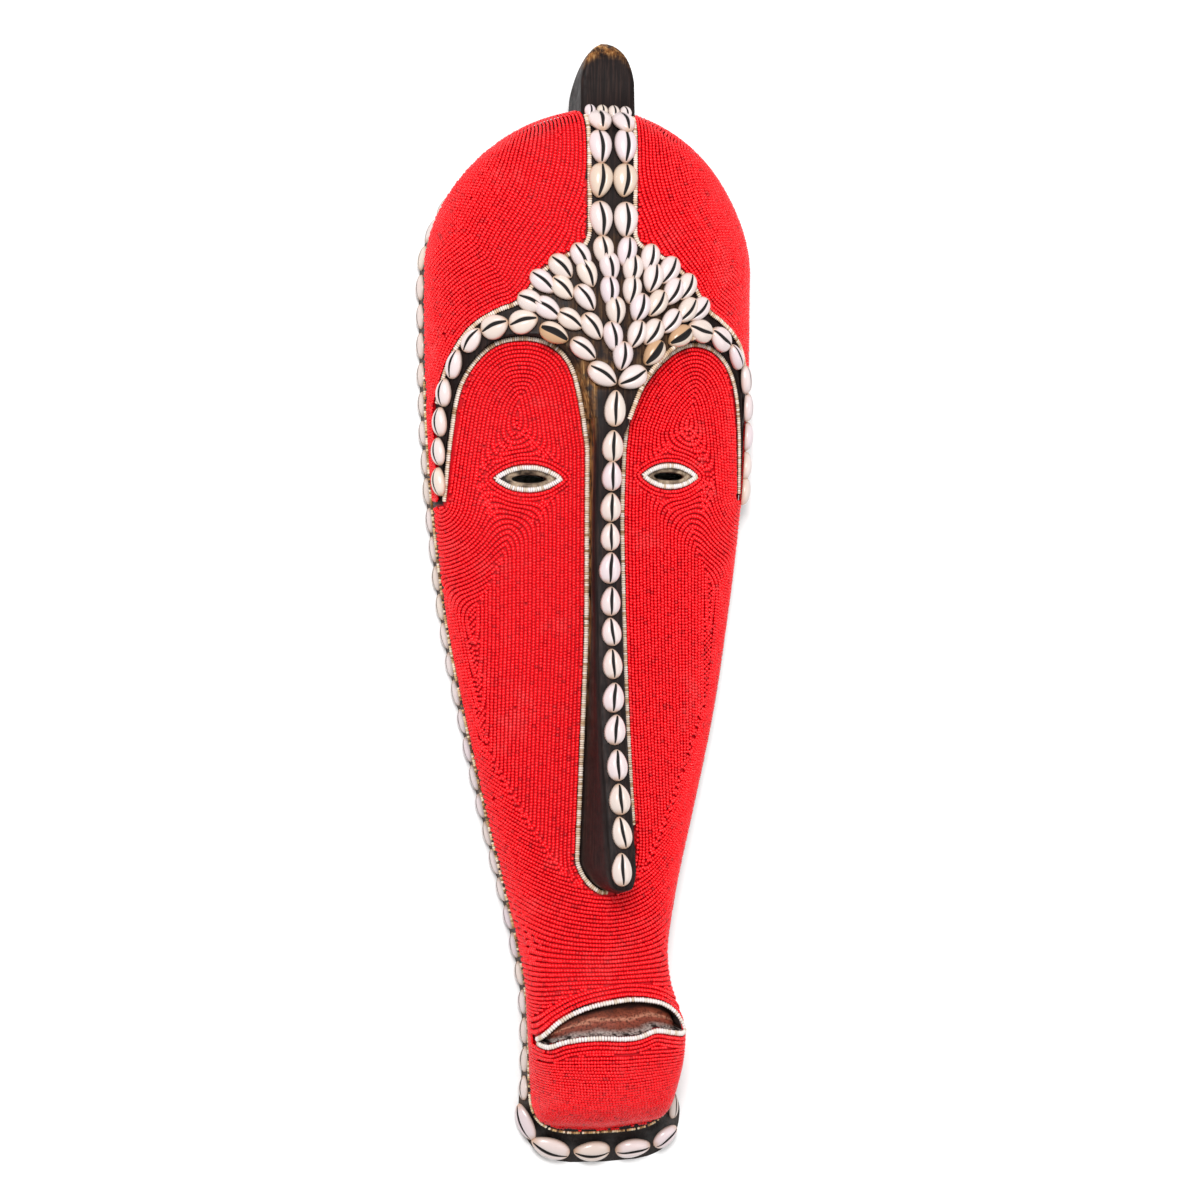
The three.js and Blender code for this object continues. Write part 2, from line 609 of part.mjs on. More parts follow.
function buildFanShells() {
  const shells = [];
  for (const { radius, angles } of FAN_ARCS) {
    for (const angle of angles) {
      const direction = directionAt(angle);
      const reach = radius * (1 - angle ** 2 / FAN_FLATTENING);
      const x = FAN_APEX[0] + reach * direction.x;
      const y = FAN_APEX[1] + reach * direction.y;
      shells.push({ matrix: domeShellPlace(x, y, angle) });
    }
  }
  for (const { x, y, turn } of FAN_SHELLS_LOW) shells.push({ matrix: domeShellPlace(x, y, turn) });
  addJoinedShells('fan_shells', shells.map((shell) => ({ ...shell, ...FAN_SHELL })));
}

function buildBrowShells() {
  for (const [side, line] of [['left', BROW_LEFT], ['right', BROW_RIGHT]]) {
    const shells = line.map(([x, y], k) => {
      const [fromX, fromY] = line[Math.max(0, k - 1)];
      const [toX, toY] = line[Math.min(line.length - 1, k + 1)];
      const turn = THREE.MathUtils.radToDeg(Math.atan2(fromX - toX, fromY - toY));
      return { matrix: domeShellPlace(x, y, turn), ...BROW_SHELL };
    });
    addJoinedShells(`brow_shells_${side}`, shells);
  }
}

// Points along the outer face of the side band, from the middle of the chin up to the crest.
function bandLine(side, level) {
  const points = [];
  const steps = 90;
  for (let k = 0; k <= steps; k += 1) {
    const y = THREE.MathUtils.lerp(CHIN_Y, TOP_Y, (1 - Math.cos((k * Math.PI) / steps)) / 2);
    points.push(outlinePoint(side, y, bandOutward(y, level) - WOOD_DEPTH, level));
  }
  return new THREE.CatmullRomCurve3(points);
}

function bandShell(side, level, distance, size) {
  const line = bandLine(side, level);
  const t = line.getUtoTmapping(distance / line.getLength());
  const along = line.getTangent(t);
  const upward = bandLine(side, level + 2).getPoint(t).sub(bandLine(side, level - 2).getPoint(t));
  const normal = along.clone().cross(upward).multiplyScalar(side).normalize();
  const point = line.getPoint(t).addScaledVector(normal, RIM_SHELL_LIFT);
  return { matrix: shellPlace(point, normal, along), ...size };
}

function buildRimShells() {
  for (const [side, sign] of [['left', -1], ['right', 1]]) {
    const length = bandLine(sign, RIM_SHELL_LEVEL).getLength();
    const chin = (CHIN_SHELLS / 2) * CHIN_SHELL_PITCH;
    const crest = CREST_WIDTH / 2 + 2;
    const count = Math.floor((length - chin - crest) / RIM_SHELL_PITCH);
    const shells = [];
    for (let k = 0; k < count; k += 1) {
      const distance = chin + (k + 0.5) * RIM_SHELL_PITCH;
      shells.push(bandShell(sign, RIM_SHELL_LEVEL, distance, { profile: PLAIN_PROFILE, ...RIM_SHELL }));
    }
    addJoinedShells(`rim_shells_${side}`, shells);
  }
}

function buildChinShells() {
  for (let k = 0; k < CHIN_SHELLS; k += 1) {
    const offset = (k - (CHIN_SHELLS - 1) / 2) * CHIN_SHELL_PITCH;
    const side = offset < 0 ? -1 : 1;
    addShell(`chin_shell_${k + 1}`, bandShell(side, CHIN_SHELL_LEVEL, Math.abs(offset), CHIN_SHELL));
  }
}

addMesh('wooden_mask', toGeometry(carveWood()), wood);
addForeheadBeads();
addFaceBeads();
buildNoseShells();
buildStemShells();
buildFanShells();
buildBrowShells();
buildRimShells();
buildChinShells();

// The origin is the middle of the box, on the surface that the mask lies on.
const box = new THREE.Box3().setFromObject(mask, true);
mask.position.set(-(box.min.x + box.max.x) / 2, -(box.min.y + box.max.y) / 2, 0);

export default mask;
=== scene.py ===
"""A long ngil face mask, lying on its back rim and seen from above.

Carved wood carries red seed beads, cream strings of beads and cowrie shells. Sizes are in
millimetres in the mask's own frame: X to the viewer's right, Y to the crest, Z out of the face.
"""

import math

import bmesh
import bpy
import numpy as np
from mathutils import Matrix, Vector
from mathutils.kdtree import KDTree


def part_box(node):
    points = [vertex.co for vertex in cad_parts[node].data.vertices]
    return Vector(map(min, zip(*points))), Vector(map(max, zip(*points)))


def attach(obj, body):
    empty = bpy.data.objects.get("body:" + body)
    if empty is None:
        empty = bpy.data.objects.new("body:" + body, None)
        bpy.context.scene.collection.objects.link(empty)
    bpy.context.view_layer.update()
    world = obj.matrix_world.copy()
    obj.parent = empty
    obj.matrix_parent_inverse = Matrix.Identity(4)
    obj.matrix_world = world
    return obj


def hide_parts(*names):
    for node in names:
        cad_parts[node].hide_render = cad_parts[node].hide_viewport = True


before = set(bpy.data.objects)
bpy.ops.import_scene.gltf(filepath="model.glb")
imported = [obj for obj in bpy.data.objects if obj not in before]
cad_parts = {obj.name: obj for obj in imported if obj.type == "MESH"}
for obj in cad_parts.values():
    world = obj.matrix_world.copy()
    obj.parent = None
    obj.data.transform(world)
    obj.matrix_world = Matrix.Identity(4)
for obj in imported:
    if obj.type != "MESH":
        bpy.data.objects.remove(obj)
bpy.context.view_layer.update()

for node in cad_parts.values():
    node.select_set(False)


# The carved wooden mask. One block of light wood, hollowed at the back and stained near black:
# a long dome and face, a ridge of a nose, brows, a band round the rim and a fin on the head.
# Its forms are closed shells of rings, joined and cut, as the carver takes them from the block.
MM = 0.001
EYES = {
    "left": {"middle": (-50.5, 80), "half": (23, 9.3), "slit_x": -49.3},
    "right": {"middle": (47, 82.8), "half": (21.5, 8.9), "slit_x": 47},
}

# The mask's own frame has the middle of the left eye at a known place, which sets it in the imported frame.
eye_low, eye_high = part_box("eye_edging_left")
left_eye = np.array([*EYES["left"]["middle"], 0])
SHIFT = (np.array(eye_low) + np.array(eye_high)) / 2 - left_eye * MM
SHIFT[2] = 0


def smooth(stations, place):
    """Reads a smooth, never overshooting curve through (place, value) stations."""
    xs = np.array([s[0] for s in stations], float)
    ys = np.array([s[1] for s in stations], float)
    slopes = np.diff(ys) / np.diff(xs)
    tangents = np.zeros(len(xs))
    product = slopes[:-1] * slopes[1:]
    total = np.where(product > 0, slopes[:-1] + slopes[1:], 1)
    tangents[1:-1] = np.where(product > 0, 2 * product / total, 0)
    at = np.clip(np.asarray(place, float), xs[0], xs[-1])
    k = np.clip(np.searchsorted(xs, at, side="right") - 1, 0, len(xs) - 2)
    width = xs[k + 1] - xs[k]
    t = (at - xs[k]) / width
    return (
        (2 * t**3 - 3 * t**2 + 1) * ys[k]
        + (t**3 - 2 * t**2 + t) * width * tangents[k]
        + (3 * t**2 - 2 * t**3) * ys[k + 1]
        + (t**3 - t**2) * width * tangents[k + 1]
    )


# The outline seen from the front: sides that widen upward, and two round ends.
TOP_Y = 327
CHIN_Y = -361
TOP_CAP_Y = 223
CHIN_CAP_Y = -326
TOP_CAP_POWER = 1.78
CHIN_CAP_POWER = 3.4
HALF_WIDTHS = [
    (-326, 49.5), (-300, 49), (-262, 48.5), (-235, 51.5), (-200, 58.5), (-150, 71),
    (-100, 82.5), (-50, 92.5), (0, 100.5), (50, 106.6), (90, 110.3), (150, 113), (223, 113.8),
]


def half_width(y):
    """Half the width of the mask at its edge."""
    up = np.clip((y - TOP_CAP_Y) / (TOP_Y - TOP_CAP_Y), 0, 1)
    down = np.clip((CHIN_CAP_Y - y) / (CHIN_CAP_Y - CHIN_Y), 0, 1)
    top_cap = np.sqrt(1 - up**TOP_CAP_POWER)
    return smooth(HALF_WIDTHS, y) * top_cap * (1 - down**CHIN_CAP_POWER) ** (1 / CHIN_CAP_POWER)


# The dome: its middle line, and the heights of its edge and its crown over the rim.
CENTRE_LINE = [(-361, 9), (-300, 7.5), (-230, 2.5), (-180, 1.5), (-100, 1.5), (0, 0)]
EDGE_HEIGHTS = [(-361, 24), (-320, 22), (190, 22), (260, 28), (327, 45)]
CROWN_HEIGHTS = [(110, 89), (150, 88), (190, 86), (223, 84)]
CROWN_CAP_POWER = 5
DOME_POWER = 2.3


def top_round(y):
    """Share of the full height left where the top of the head turns back."""
    up = np.clip((y - TOP_CAP_Y) / (TOP_Y - TOP_CAP_Y), 0, 1)
    return (1 - up**CROWN_CAP_POWER) ** (1 / CROWN_CAP_POWER)


def dome(angle, y):
    """Points of the forehead dome, at angles across the mask from the middle."""
    angle, y = np.broadcast_arrays(np.asarray(angle, float), np.asarray(y, float))
    edge = smooth(EDGE_HEIGHTS, y)
    across = np.sin(angle)
    crown = (smooth(CROWN_HEIGHTS, y) - edge) * top_round(y)
    rise = np.sqrt(np.clip(1 - np.abs(across) ** DOME_POWER, 0, 1))
    return np.stack([smooth(CENTRE_LINE, y) + half_width(y) * across, y, edge + crown * rise], -1)


# The face: the height of its middle line, how the cheeks fall to the sides, and the muzzle.
FACE_HEIGHTS = [
    (-361, 24), (-350, 47), (-338, 64), (-320, 78), (-302, 85), (-287, 85), (-275, 79),
    (-258, 68), (-235, 64), (-190, 66), (-100, 67), (0, 68), (50, 69), (100, 71), (150, 75), (200, 78),
]
CHEEK_FALL = [(-361, 0.15), (-290, 0.17), (-248, 0.16), (-150, 0.22), (-60, 0.17), (80, 0.12)]
CHEEK_FALL_POWER = 1.1
FACE_SIDE_POWER = 9
MUZZLE_BULGE = [(-340, 0), (-310, 5), (-287, 8), (-262, 4), (-230, 0)]


def face(angle, y):
    """Points of the face panel, at angles across the mask from the middle."""
    angle, y = np.broadcast_arrays(np.asarray(angle, float), np.asarray(y, float))
    edge = smooth(EDGE_HEIGHTS, y)
    across = np.sin(angle)
    inward = np.abs(np.cos(angle))
    offset = (half_width(y) + smooth(MUZZLE_BULGE, y) * 4 * inward * (1 - inward)) * across
    fall = smooth(CHEEK_FALL, y) * np.abs(offset) ** CHEEK_FALL_POWER
    top = np.maximum(smooth(FACE_HEIGHTS, y) - fall, edge)
    rise = np.sqrt(np.clip(1 - np.abs(across) ** FACE_SIDE_POWER, 0, 1)) * top_round(y)
    return np.stack([smooth(CENTRE_LINE, y) + offset, y, edge + (top - edge) * rise], -1)


def hollow_surface(angle, y):
    """The inside follows the face below the brows and the dome above them."""
    share = smooth([(172, 0), (215, 1)], y)[..., None]
    return face(angle, y) * (1 - share) + dome(angle, y) * share


def normals(surface, angle, y):
    """Outward normals of a surface, turned towards the ends of the mask close to them."""
    angle, y = np.broadcast_arrays(np.asarray(angle, float), np.asarray(y, float))
    step = 0.004
    a = np.clip(angle, step - math.pi / 2, math.pi / 2 - step)
    at = np.clip(y, CHIN_Y + 0.5, TOP_Y - 0.5)
    along_angle = surface(a + step, at) - surface(a - step, at)
    along_y = surface(a, at + 0.3) - surface(a, at - 0.3)
    normal = np.cross(along_angle, along_y)
    normal /= np.linalg.norm(normal, axis=-1, keepdims=True)
    from_end = np.minimum(y - CHIN_Y, TOP_Y - y)
    share = smooth([(0, 0), (6, 1)], from_end)[..., None]
    end = np.stack([np.zeros_like(y), np.where(y > 0, 1.0, -1.0), np.zeros_like(y)], -1)
    normal = normal * share + end * (1 - share)
    return normal / np.linalg.norm(normal, axis=-1, keepdims=True)


# The side band, upright all round, flared at the chin and drawn in at the crown.
BAND_HEIGHT = 20
CHIN_LEANS = [(-360, 8), (-350, 6.5), (-335, 3), (-318, 0.8), (-305, 0)]
BAND_FLARES = [(-361, 28), (-349, 15.5), (-336, 7.5), (-320, 3), (-300, 1)]
RIM_INSETS = [(190, 0), (327, 6)]


def outline(side, y, outward, z):
    """Points of the outline on one side (-1 or 1), moved outward, at a height."""
    y = np.asarray(y, float)
    at = np.clip(y, CHIN_Y + 0.5, TOP_Y - 0.5)
    edge_angle = side * math.pi / 2
    along = dome(edge_angle, at + 0.4) - dome(edge_angle, at - 0.4)
    normal = np.stack([side * along[..., 1], -side * along[..., 0]], -1)
    normal /= np.linalg.norm(normal, axis=-1, keepdims=True)
    share = smooth([(0, 0), (1.5, 1)], np.minimum(y - CHIN_Y, TOP_Y - y))[..., None]
    end = np.stack([np.zeros_like(y), np.where(y > 0, 1.0, -1.0)], -1)
    normal = normal * share + end * (1 - share)
    normal /= np.linalg.norm(normal, axis=-1, keepdims=True)
    points = dome(edge_angle, y)
    points[..., :2] += normal * np.asarray(outward)[..., None]
    points[..., 0] += smooth(CHIN_LEANS, y) * np.clip(1 - z / BAND_HEIGHT, 0, 1)
    points[..., 2] = z
    return points


def band_outward(y, z):
    """How far the side band stands out of the outline at a height."""
    return smooth(BAND_FLARES, y) * (1 - z / BAND_HEIGHT) - smooth(RIM_INSETS, y)


def rows_between(low, high, count, bunching=0.75):
    """Rows of Y that lie closer together near the two ends."""
    t = np.linspace(0, 1, count)
    eased = (1 - np.cos(t * math.pi)) / 2
    return low + (high - low) * (t * (1 - bunching) + eased * bunching)


def new_object(name, points, faces):
    """Object of points in millimetres in the mask's frame, and of faces, smooth shaded."""
    mesh = bpy.data.meshes.new(name)
    mesh.from_pydata([tuple(p) for p in np.asarray(points) * MM + SHIFT], [], [tuple(f) for f in faces])
    mesh.polygons.foreach_set("use_smooth", [True] * len(mesh.polygons))
    mesh.update()
    piece = bpy.data.objects.new(name, mesh)
    bpy.context.collection.objects.link(piece)
    return piece


def turn_outward(work):
    """Turns the faces of a closed shell outward."""
    bmesh.ops.recalc_face_normals(work, faces=work.faces)
    if work.calc_volume(signed=True) < 0:
        bmesh.ops.reverse_faces(work, faces=work.faces)


def ring_solid(name, rings):
    """Closed shell over rings of points. The first and the last ring close it."""
    rings = np.asarray(rings)
    rows, count = rings.shape[:2]
    row, k = np.meshgrid(np.arange(rows - 1), np.arange(count), indexing="ij")
    after = (k + 1) % count
    here, above = row * count, (row + 1) * count
    faces = np.stack([here + k, here + after, above + after, above + k], -1)
    piece = new_object(name, rings.reshape(-1, 3), faces.reshape(-1, 4))
    work = bmesh.new()
    work.from_mesh(piece.data)
    bmesh.ops.remove_doubles(work, verts=work.verts, dist=0.02 * MM)
    bmesh.ops.dissolve_degenerate(work, edges=work.edges, dist=0.01 * MM)
    turn_outward(work)
    work.to_mesh(piece.data)
    work.free()
    return piece


def form(name, surface, depth, skirt, columns, rows):
    """Solid below a surface, sunk by a depth, with sides down through the levels of the skirt."""
    depth = np.broadcast_to(np.asarray(depth, float), rows.shape)
    angles = math.pi * (0.5 - np.arange(columns + 1) / columns)
    angle, y = np.meshgrid(angles, rows)
    top = surface(angle, y) - normals(surface, angle, y) * depth[:, None, None]
    left = [outline(-1, rows, outward(rows) - depth, z) for z, outward in skirt]
    right = [outline(1, rows, outward(rows) - depth, z) for z, outward in reversed(skirt)]
    rings = np.concatenate([top, np.stack(left, 1), np.stack(right, 1)], 1)
    return ring_solid(name, rings)


def prism(name, points, bottom, top):
    """Upright block with an outline given as points of X and Y."""
    low = [(x, y, bottom) for x, y in points]
    high = [(x, y, top) for x, y in points]
    count = len(points)
    sides = [(k, (k + 1) % count, count + (k + 1) % count, count + k) for k in range(count)]
    piece = new_object(name, low + high, [*sides, range(count), range(count, 2 * count)])
    work = bmesh.new()
    work.from_mesh(piece.data)
    turn_outward(work)
    work.to_mesh(piece.data)
    work.free()
    return piece


def combine(piece, other, operation):
    """Joins, cuts or keeps the common part of two solids, and removes the second one."""
    modifier = piece.modifiers.new(operation, "BOOLEAN")
    modifier.operation = operation
    modifier.solver = "MANIFOLD"
    modifier.object = other
    bpy.context.view_layer.objects.active = piece
    bpy.ops.object.modifier_apply(modifier=modifier.name)
    bpy.data.objects.remove(other)


def curved(points, count):
    """Even points of a smooth line through a few points."""
    p = np.array([points[0], *points, points[-1]], float)
    line = []
    for k in range(len(p) - 3):
        a, b, c, d = p[k : k + 4]
        for t in np.arange(20) / 20:
            pull = (c - a) * t + (2 * a - 5 * b + 4 * c - d) * t**2 + (3 * b - a - 3 * c + d) * t**3
            line.append(b + pull / 2)
    line.append(p[-2])
    return even(np.array(line), count)


def lengths_along(line):
    """Distance of each point of a line from its start."""
    return np.concatenate([[0], np.cumsum(np.linalg.norm(np.diff(line, axis=0), axis=1))])


def read_along(table, lengths, where):
    """Rows of a table, one row for each length, read at any length."""
    return np.stack([np.interp(where, lengths, table[:, k]) for k in range(table.shape[1])], -1)


def even(line, count):
    """The same line with a number of evenly spaced points."""
    lengths = lengths_along(line)
    return read_along(line, lengths, np.linspace(0, lengths[-1], count))


# Widths of the nose to the left and right of its ridge, and the lower edges of the brows.
RIDGE_LINE = [(-190, 2.5), (-151, 1.5), (-64, -0.5), (21, -1), (150, 0)]
NOSE_LEFT = [
    (-192, 4), (-190.3, 7), (-187, 10.5), (-181, 14.6), (-173, 17.3), (-162, 16.6), (-120, 13.9),
    (-67, 10.9), (-13, 9), (21, 8.9), (60, 9.2), (105, 10), (119, 11), (140, 12),
]
NOSE_RIGHT = [
    (-192, 4), (-188, 9.5), (-181, 14.5), (-172, 17.8), (-160, 18.6), (-120, 17), (-67, 14.8), (21, 12),
    (60, 11), (140, 12),
]
NOSE_TIP_Y = -192
PANEL_LEFT = [
    (-105, 66), (-102, 107), (-96, 143), (-79, 167), (-57, 174), (-35, 169), (-21, 152), (-13, 119.5),
]
PANEL_RIGHT = [(105, 72), (103, 115), (97, 147), (84, 166), (65, 173), (45, 166), (25, 145), (13, 118.5)]


def nose_side(side, count):
    """Foot of the nose on one side (-1 or 1), from its tip up to the brow."""
    y = np.linspace(NOSE_TIP_Y, 100, count)
    half = smooth(NOSE_RIGHT if side > 0 else NOSE_LEFT, y)
    return np.stack([smooth(RIDGE_LINE, y) + side * half, y], -1)


# Brow, side of the nose, under its tip and back up to the other brow.
brow_left = curved(PANEL_LEFT, 60)
brow_right = curved(PANEL_RIGHT, 60)
panel_line = np.concatenate([brow_left, nose_side(-1, 90)[::-1], nose_side(1, 90), brow_right[::-1]])
OUTSIDE = 150


def below(line):
    """Outline of all that lies below a line from rim to rim, well outside the mask at its sides."""
    return [*map(tuple, line), (OUTSIDE, 72), (OUTSIDE, -420), (-OUTSIDE, -420), (-OUTSIDE, 66)]


def ellipse(x, y, half_x, half_y, count=24):
    """Outline of an ellipse."""
    turns = np.linspace(0, 2 * math.pi, count, endpoint=False)
    return [(x + half_x * math.cos(t), y + half_y * math.sin(t)) for t in turns]


# The crooked mouth: the upper lip from left to right, the lower lip back.
MOUTH_UPPER = [
    (-43, -291.5), (-31, -279.5), (-12, -271), (12, -267), (34, -269), (47.5, -275.5), (55, -287.5),
]
MOUTH_LOWER = [
    (55, -287.5), (46, -285.5), (32, -283), (17, -286.5), (-10, -286), (-29, -288.5), (-39, -292.5),
    (-43, -291.5),
]
mouth_line = np.concatenate([curved(MOUTH_UPPER, 60)[:-1], curved(MOUTH_LOWER, 60)[:-1]])

# The wood lies this deep below the tops of the beads. The dome and the face meet at the brows.
WOOD_DEPTH = 2.6
CUT_BOTTOM = -10
CUT_TOP = 140
wood_rows = rows_between(CHIN_Y, TOP_Y, 260)
band = [(BAND_HEIGHT, lambda y: band_outward(y, BAND_HEIGHT)), (0, lambda y: band_outward(y, 0))]

carved_mask = form("carved_mask", dome, WOOD_DEPTH, band, 90, wood_rows)
brow_cut = below(np.concatenate([brow_left, brow_right[::-1]]))
combine(carved_mask, prism("cutter", brow_cut, CUT_BOTTOM, CUT_TOP), "DIFFERENCE")
face_form = form("face_form", face, WOOD_DEPTH, band, 90, wood_rows)
combine(face_form, prism("cutter", brow_cut, CUT_BOTTOM, CUT_TOP), "INTERSECT")
combine(carved_mask, face_form, "UNION")

# The nose ridge: a wedge with a rounded back, widest and highest at its tip.
RIDGE_HEIGHTS = [
    (-190, 106), (-151, 101), (-108, 94), (-64, 88), (-10, 83), (21, 81), (60, 82), (100, 85.6),
    (119, 86.8), (150, 87),
]
RIDGE_LEFT = [(55, 8.5), (119, 11.7)]
RIDGE_RIGHT = [(10, 8.5), (70, 6.4), (102, 5.6), (121, 12)]
NOSE_ROOT_Y = 140
NOSE_SINK = 6
TIP_ROWS_TO = -184
TIP_ROUNDING = [(-192, 0.1), (-190.3, 0.36), (-187, 0.66), (-182, 0.87), (-175, 1)]
TIP_FALL_FROM = -188
TIP_FALL = 2.2
TIP_FALL_POWER = 1.3
NOSE_SIDE_STEPS = (0, 0.08, 0.16, 0.26, 0.4, 0.6, 0.8, 1)


def capped_solid(name, rings):
    """Closed shell over rings of points, with each end drawn together to its middle."""
    rings = np.array(rings)
    first, last = (np.broadcast_to(ring.mean(0), ring.shape) for ring in (rings[0], rings[-1]))
    return ring_solid(name, np.concatenate([[first], rings, [last]]))


tip_rows = np.linspace(NOSE_TIP_Y, TIP_ROWS_TO, 8)[:-1]
nose_rows = np.concatenate([tip_rows, np.linspace(TIP_ROWS_TO, NOSE_ROOT_Y, 80)])
nose_rings = []
for y in nose_rows:
    middle = smooth(RIDGE_LINE, y)
    top = smooth(RIDGE_HEIGHTS, y) - TIP_FALL * max(0, TIP_FALL_FROM - y) ** TIP_FALL_POWER
    foot = face(0, y)[2] - WOOD_DEPTH - NOSE_SINK
    near_root = smooth([(55, 0), (119, 1)], y)
    shoulder = foot + (top - foot) * (0.78 + 0.12 * near_root)
    level = foot + NOSE_SINK
    section = []
    for side, half, ridge in ((1, NOSE_RIGHT, RIDGE_RIGHT), (-1, NOSE_LEFT, RIDGE_LEFT)):
        half = smooth(half, y)
        ridge = min(smooth(ridge, y), half - 1) * smooth(TIP_ROUNDING, y)
        inward = ridge + 2.1 - half
        wall = [(half - 0.6 + inward * t, level + (shoulder - level) * t) for t in NOSE_SIDE_STEPS]
        part = [(half, foot), *wall, (ridge + 0.6, top - 1.2), (ridge - 1.2, top - 0.2), (ridge * 0.4, top)]
        section += [(side * x, z) for x, z in part[::side]]
    nose_rings.append([(middle + x, y, z) for x, z in section])
combine(carved_mask, capped_solid("nose", nose_rings), "UNION")

# The crest: a fin drawn from the side, as thick as three fingers in front and thinner behind,
# with a round end like a tongue.
CREST_WIDTH = 37.4
CREST_EDGE = 3.2
CREST_X = 1.6
CREST_ROUND_FROM = 337
CREST_ROUND = 32.5
CREST_TAPER = [(315, 0.07), (340, 0.1), (362, 0.14)]
CREST_PROFILE = [(300, 71), (342, 71), (361, 69), (369.5, 61), (367.5, 48), (355, 31), (337, 18), (305, 14)]


def tongue(y):
    """Share of the crest's width left where its end is rounded."""
    return math.sqrt(max(0.02, 1 - (max(0, y - CREST_ROUND_FROM) / CREST_ROUND) ** 2))


tail = curved(CREST_PROFILE[1:-1], 36)
side_view = [CREST_PROFILE[0], *map(tuple, tail), CREST_PROFILE[-1]]
crest_rings = []
middle_y = np.mean([p[0] for p in side_view])
middle_z = np.mean([p[1] for p in side_view])
for turn in np.linspace(-1, 1, 25):
    x = CREST_WIDTH / 2 * math.copysign(1 - (1 - abs(turn)) ** 1.6, turn)
    into_edge = max(0, abs(x) - CREST_WIDTH / 2 + CREST_EDGE)
    inward = CREST_EDGE * (1 - math.sqrt(max(0, 1 - into_edge**2 / CREST_EDGE**2)))
    ring = []
    for y, z in side_view:
        reach = math.hypot(y - middle_y, z - middle_z)
        share = 1 - inward / reach
        y, z = middle_y + (y - middle_y) * share, middle_z + (z - middle_z) * share
        narrow = 1 - smooth(CREST_TAPER, y) * max(0, 68 - z) / (CREST_WIDTH / 2)
        ring.append((CREST_X + x * narrow * tongue(y), y, z))
    crest_rings.append(ring)
combine(carved_mask, capped_solid("crest", crest_rings), "UNION")

# The hollow leaves a wall of this thickness, the beads counted in. Mouth and eyes are cut last.
WALLS = [(-361, 15), (-250, 15), (-200, 12), (327, 12)]
MOUTH_DEPTH = 5
SLIT_HALF = (11.5, 2.8)
MOUTH_CUT_BOTTOM = 30
straight = [(-2, lambda y: -smooth(RIM_INSETS, y))]
hollow_rows = rows_between(CHIN_Y, TOP_Y, 150)
hollow = form("hollow", hollow_surface, smooth(WALLS, hollow_rows), straight, 48, hollow_rows)
combine(carved_mask, hollow, "DIFFERENCE")
mouth_cut = prism("mouth_cut", mouth_line, MOUTH_CUT_BOTTOM, CUT_TOP)
mouth_floor = form("mouth_floor", face, WOOD_DEPTH + MOUTH_DEPTH, band, 90, wood_rows)
combine(mouth_cut, mouth_floor, "DIFFERENCE")
combine(carved_mask, mouth_cut, "DIFFERENCE")
for eye in EYES.values():
    slit = ellipse(eye["slit_x"], eye["middle"][1], *SLIT_HALF)
    combine(carved_mask, prism("slit", slit, CUT_BOTTOM, CUT_TOP), "DIFFERENCE")

# The cuts leave a few scraps with no volume where two forms meet at the brows.
work = bmesh.new()
work.from_mesh(carved_mask.data)
work.verts.ensure_lookup_table()
body = {work.verts[0]}
edge_of_body = [work.verts[0]]
while edge_of_body:
    for edge in edge_of_body.pop().link_edges:
        for vertex in edge.verts:
            if vertex not in body:
                body.add(vertex)
                edge_of_body.append(vertex)
scraps = [vertex for vertex in work.verts if vertex not in body]
if len(scraps) < len(body):
    bmesh.ops.delete(work, geom=scraps, context="VERTS")
work.to_mesh(carved_mask.data)
work.free()


def srgb(text):
    """Linear colour from an sRGB hex value."""
    parts = [int(text[k : k + 2], 16) / 255 for k in (1, 3, 5)]
    linear = [c / 12.92 if c <= 0.04045 else ((c + 0.055) / 1.055) ** 2.4 for c in parts]
    return (*linear, 1)


def new_material(name, colour, roughness, **sockets):
    """Material and its shader, with uniform values set on the shader's own sockets."""
    material = bpy.data.materials.new(name)
    material.use_nodes = True
    shader = material.node_tree.nodes["Principled BSDF"]
    shader.inputs["Base Color"].default_value = srgb(colour)
    shader.inputs["Roughness"].default_value = roughness
    for socket, value in sockets.items():
        shader.inputs[socket.replace("_", " ")].default_value = value
    return material, shader


def add_node(material, kind, settings=None, inputs=None, links=None):
    """Adds a node with its settings and input values, and links other nodes' outputs to its inputs."""
    node = material.node_tree.nodes.new(kind)
    for name, value in (settings or {}).items():
        setattr(node, name, value)
    for name, value in (inputs or {}).items():
        node.inputs[name].default_value = value
    for name, output in (links or {}).items():
        material.node_tree.links.new(output, node.inputs[name])
    return node


def link(material, output, target):
    material.node_tree.links.new(output, target)


def give(piece, material, slot, *nodes):
    """Gives a finished piece its material and the nodes it stands for; its slot is not used."""
    piece.data.materials.clear()
    piece.data.materials.append(material)
    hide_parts(*nodes)
    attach(piece, "root")


def is_inside(points, outline_points):
    """Whether points of X and Y lie inside a closed outline."""
    inside = np.zeros(points.shape[:-1], bool)
    x, y = points[..., 0], points[..., 1]
    for (ax, ay), (bx, by) in zip(outline_points, [*outline_points[1:], outline_points[0]]):
        if ay == by:
            continue
        crosses = (ay > y) != (by > y)
        inside ^= crosses & (x < ax + (bx - ax) * (y - ay) / (by - ay))
    return inside


def mark_points(piece, name, values):
    """Writes one value for each point of a piece, for its material to read."""
    kept = piece.data.attributes.new(name, "FLOAT", "POINT")
    kept.data.foreach_set("value", np.asarray(values, np.float32))


def ease(value, low, high):
    """From 0 at one value to 1 at another, with soft ends."""
    t = np.clip((value - low) / (high - low), 0, 1)
    return t * t * (3 - 2 * t)


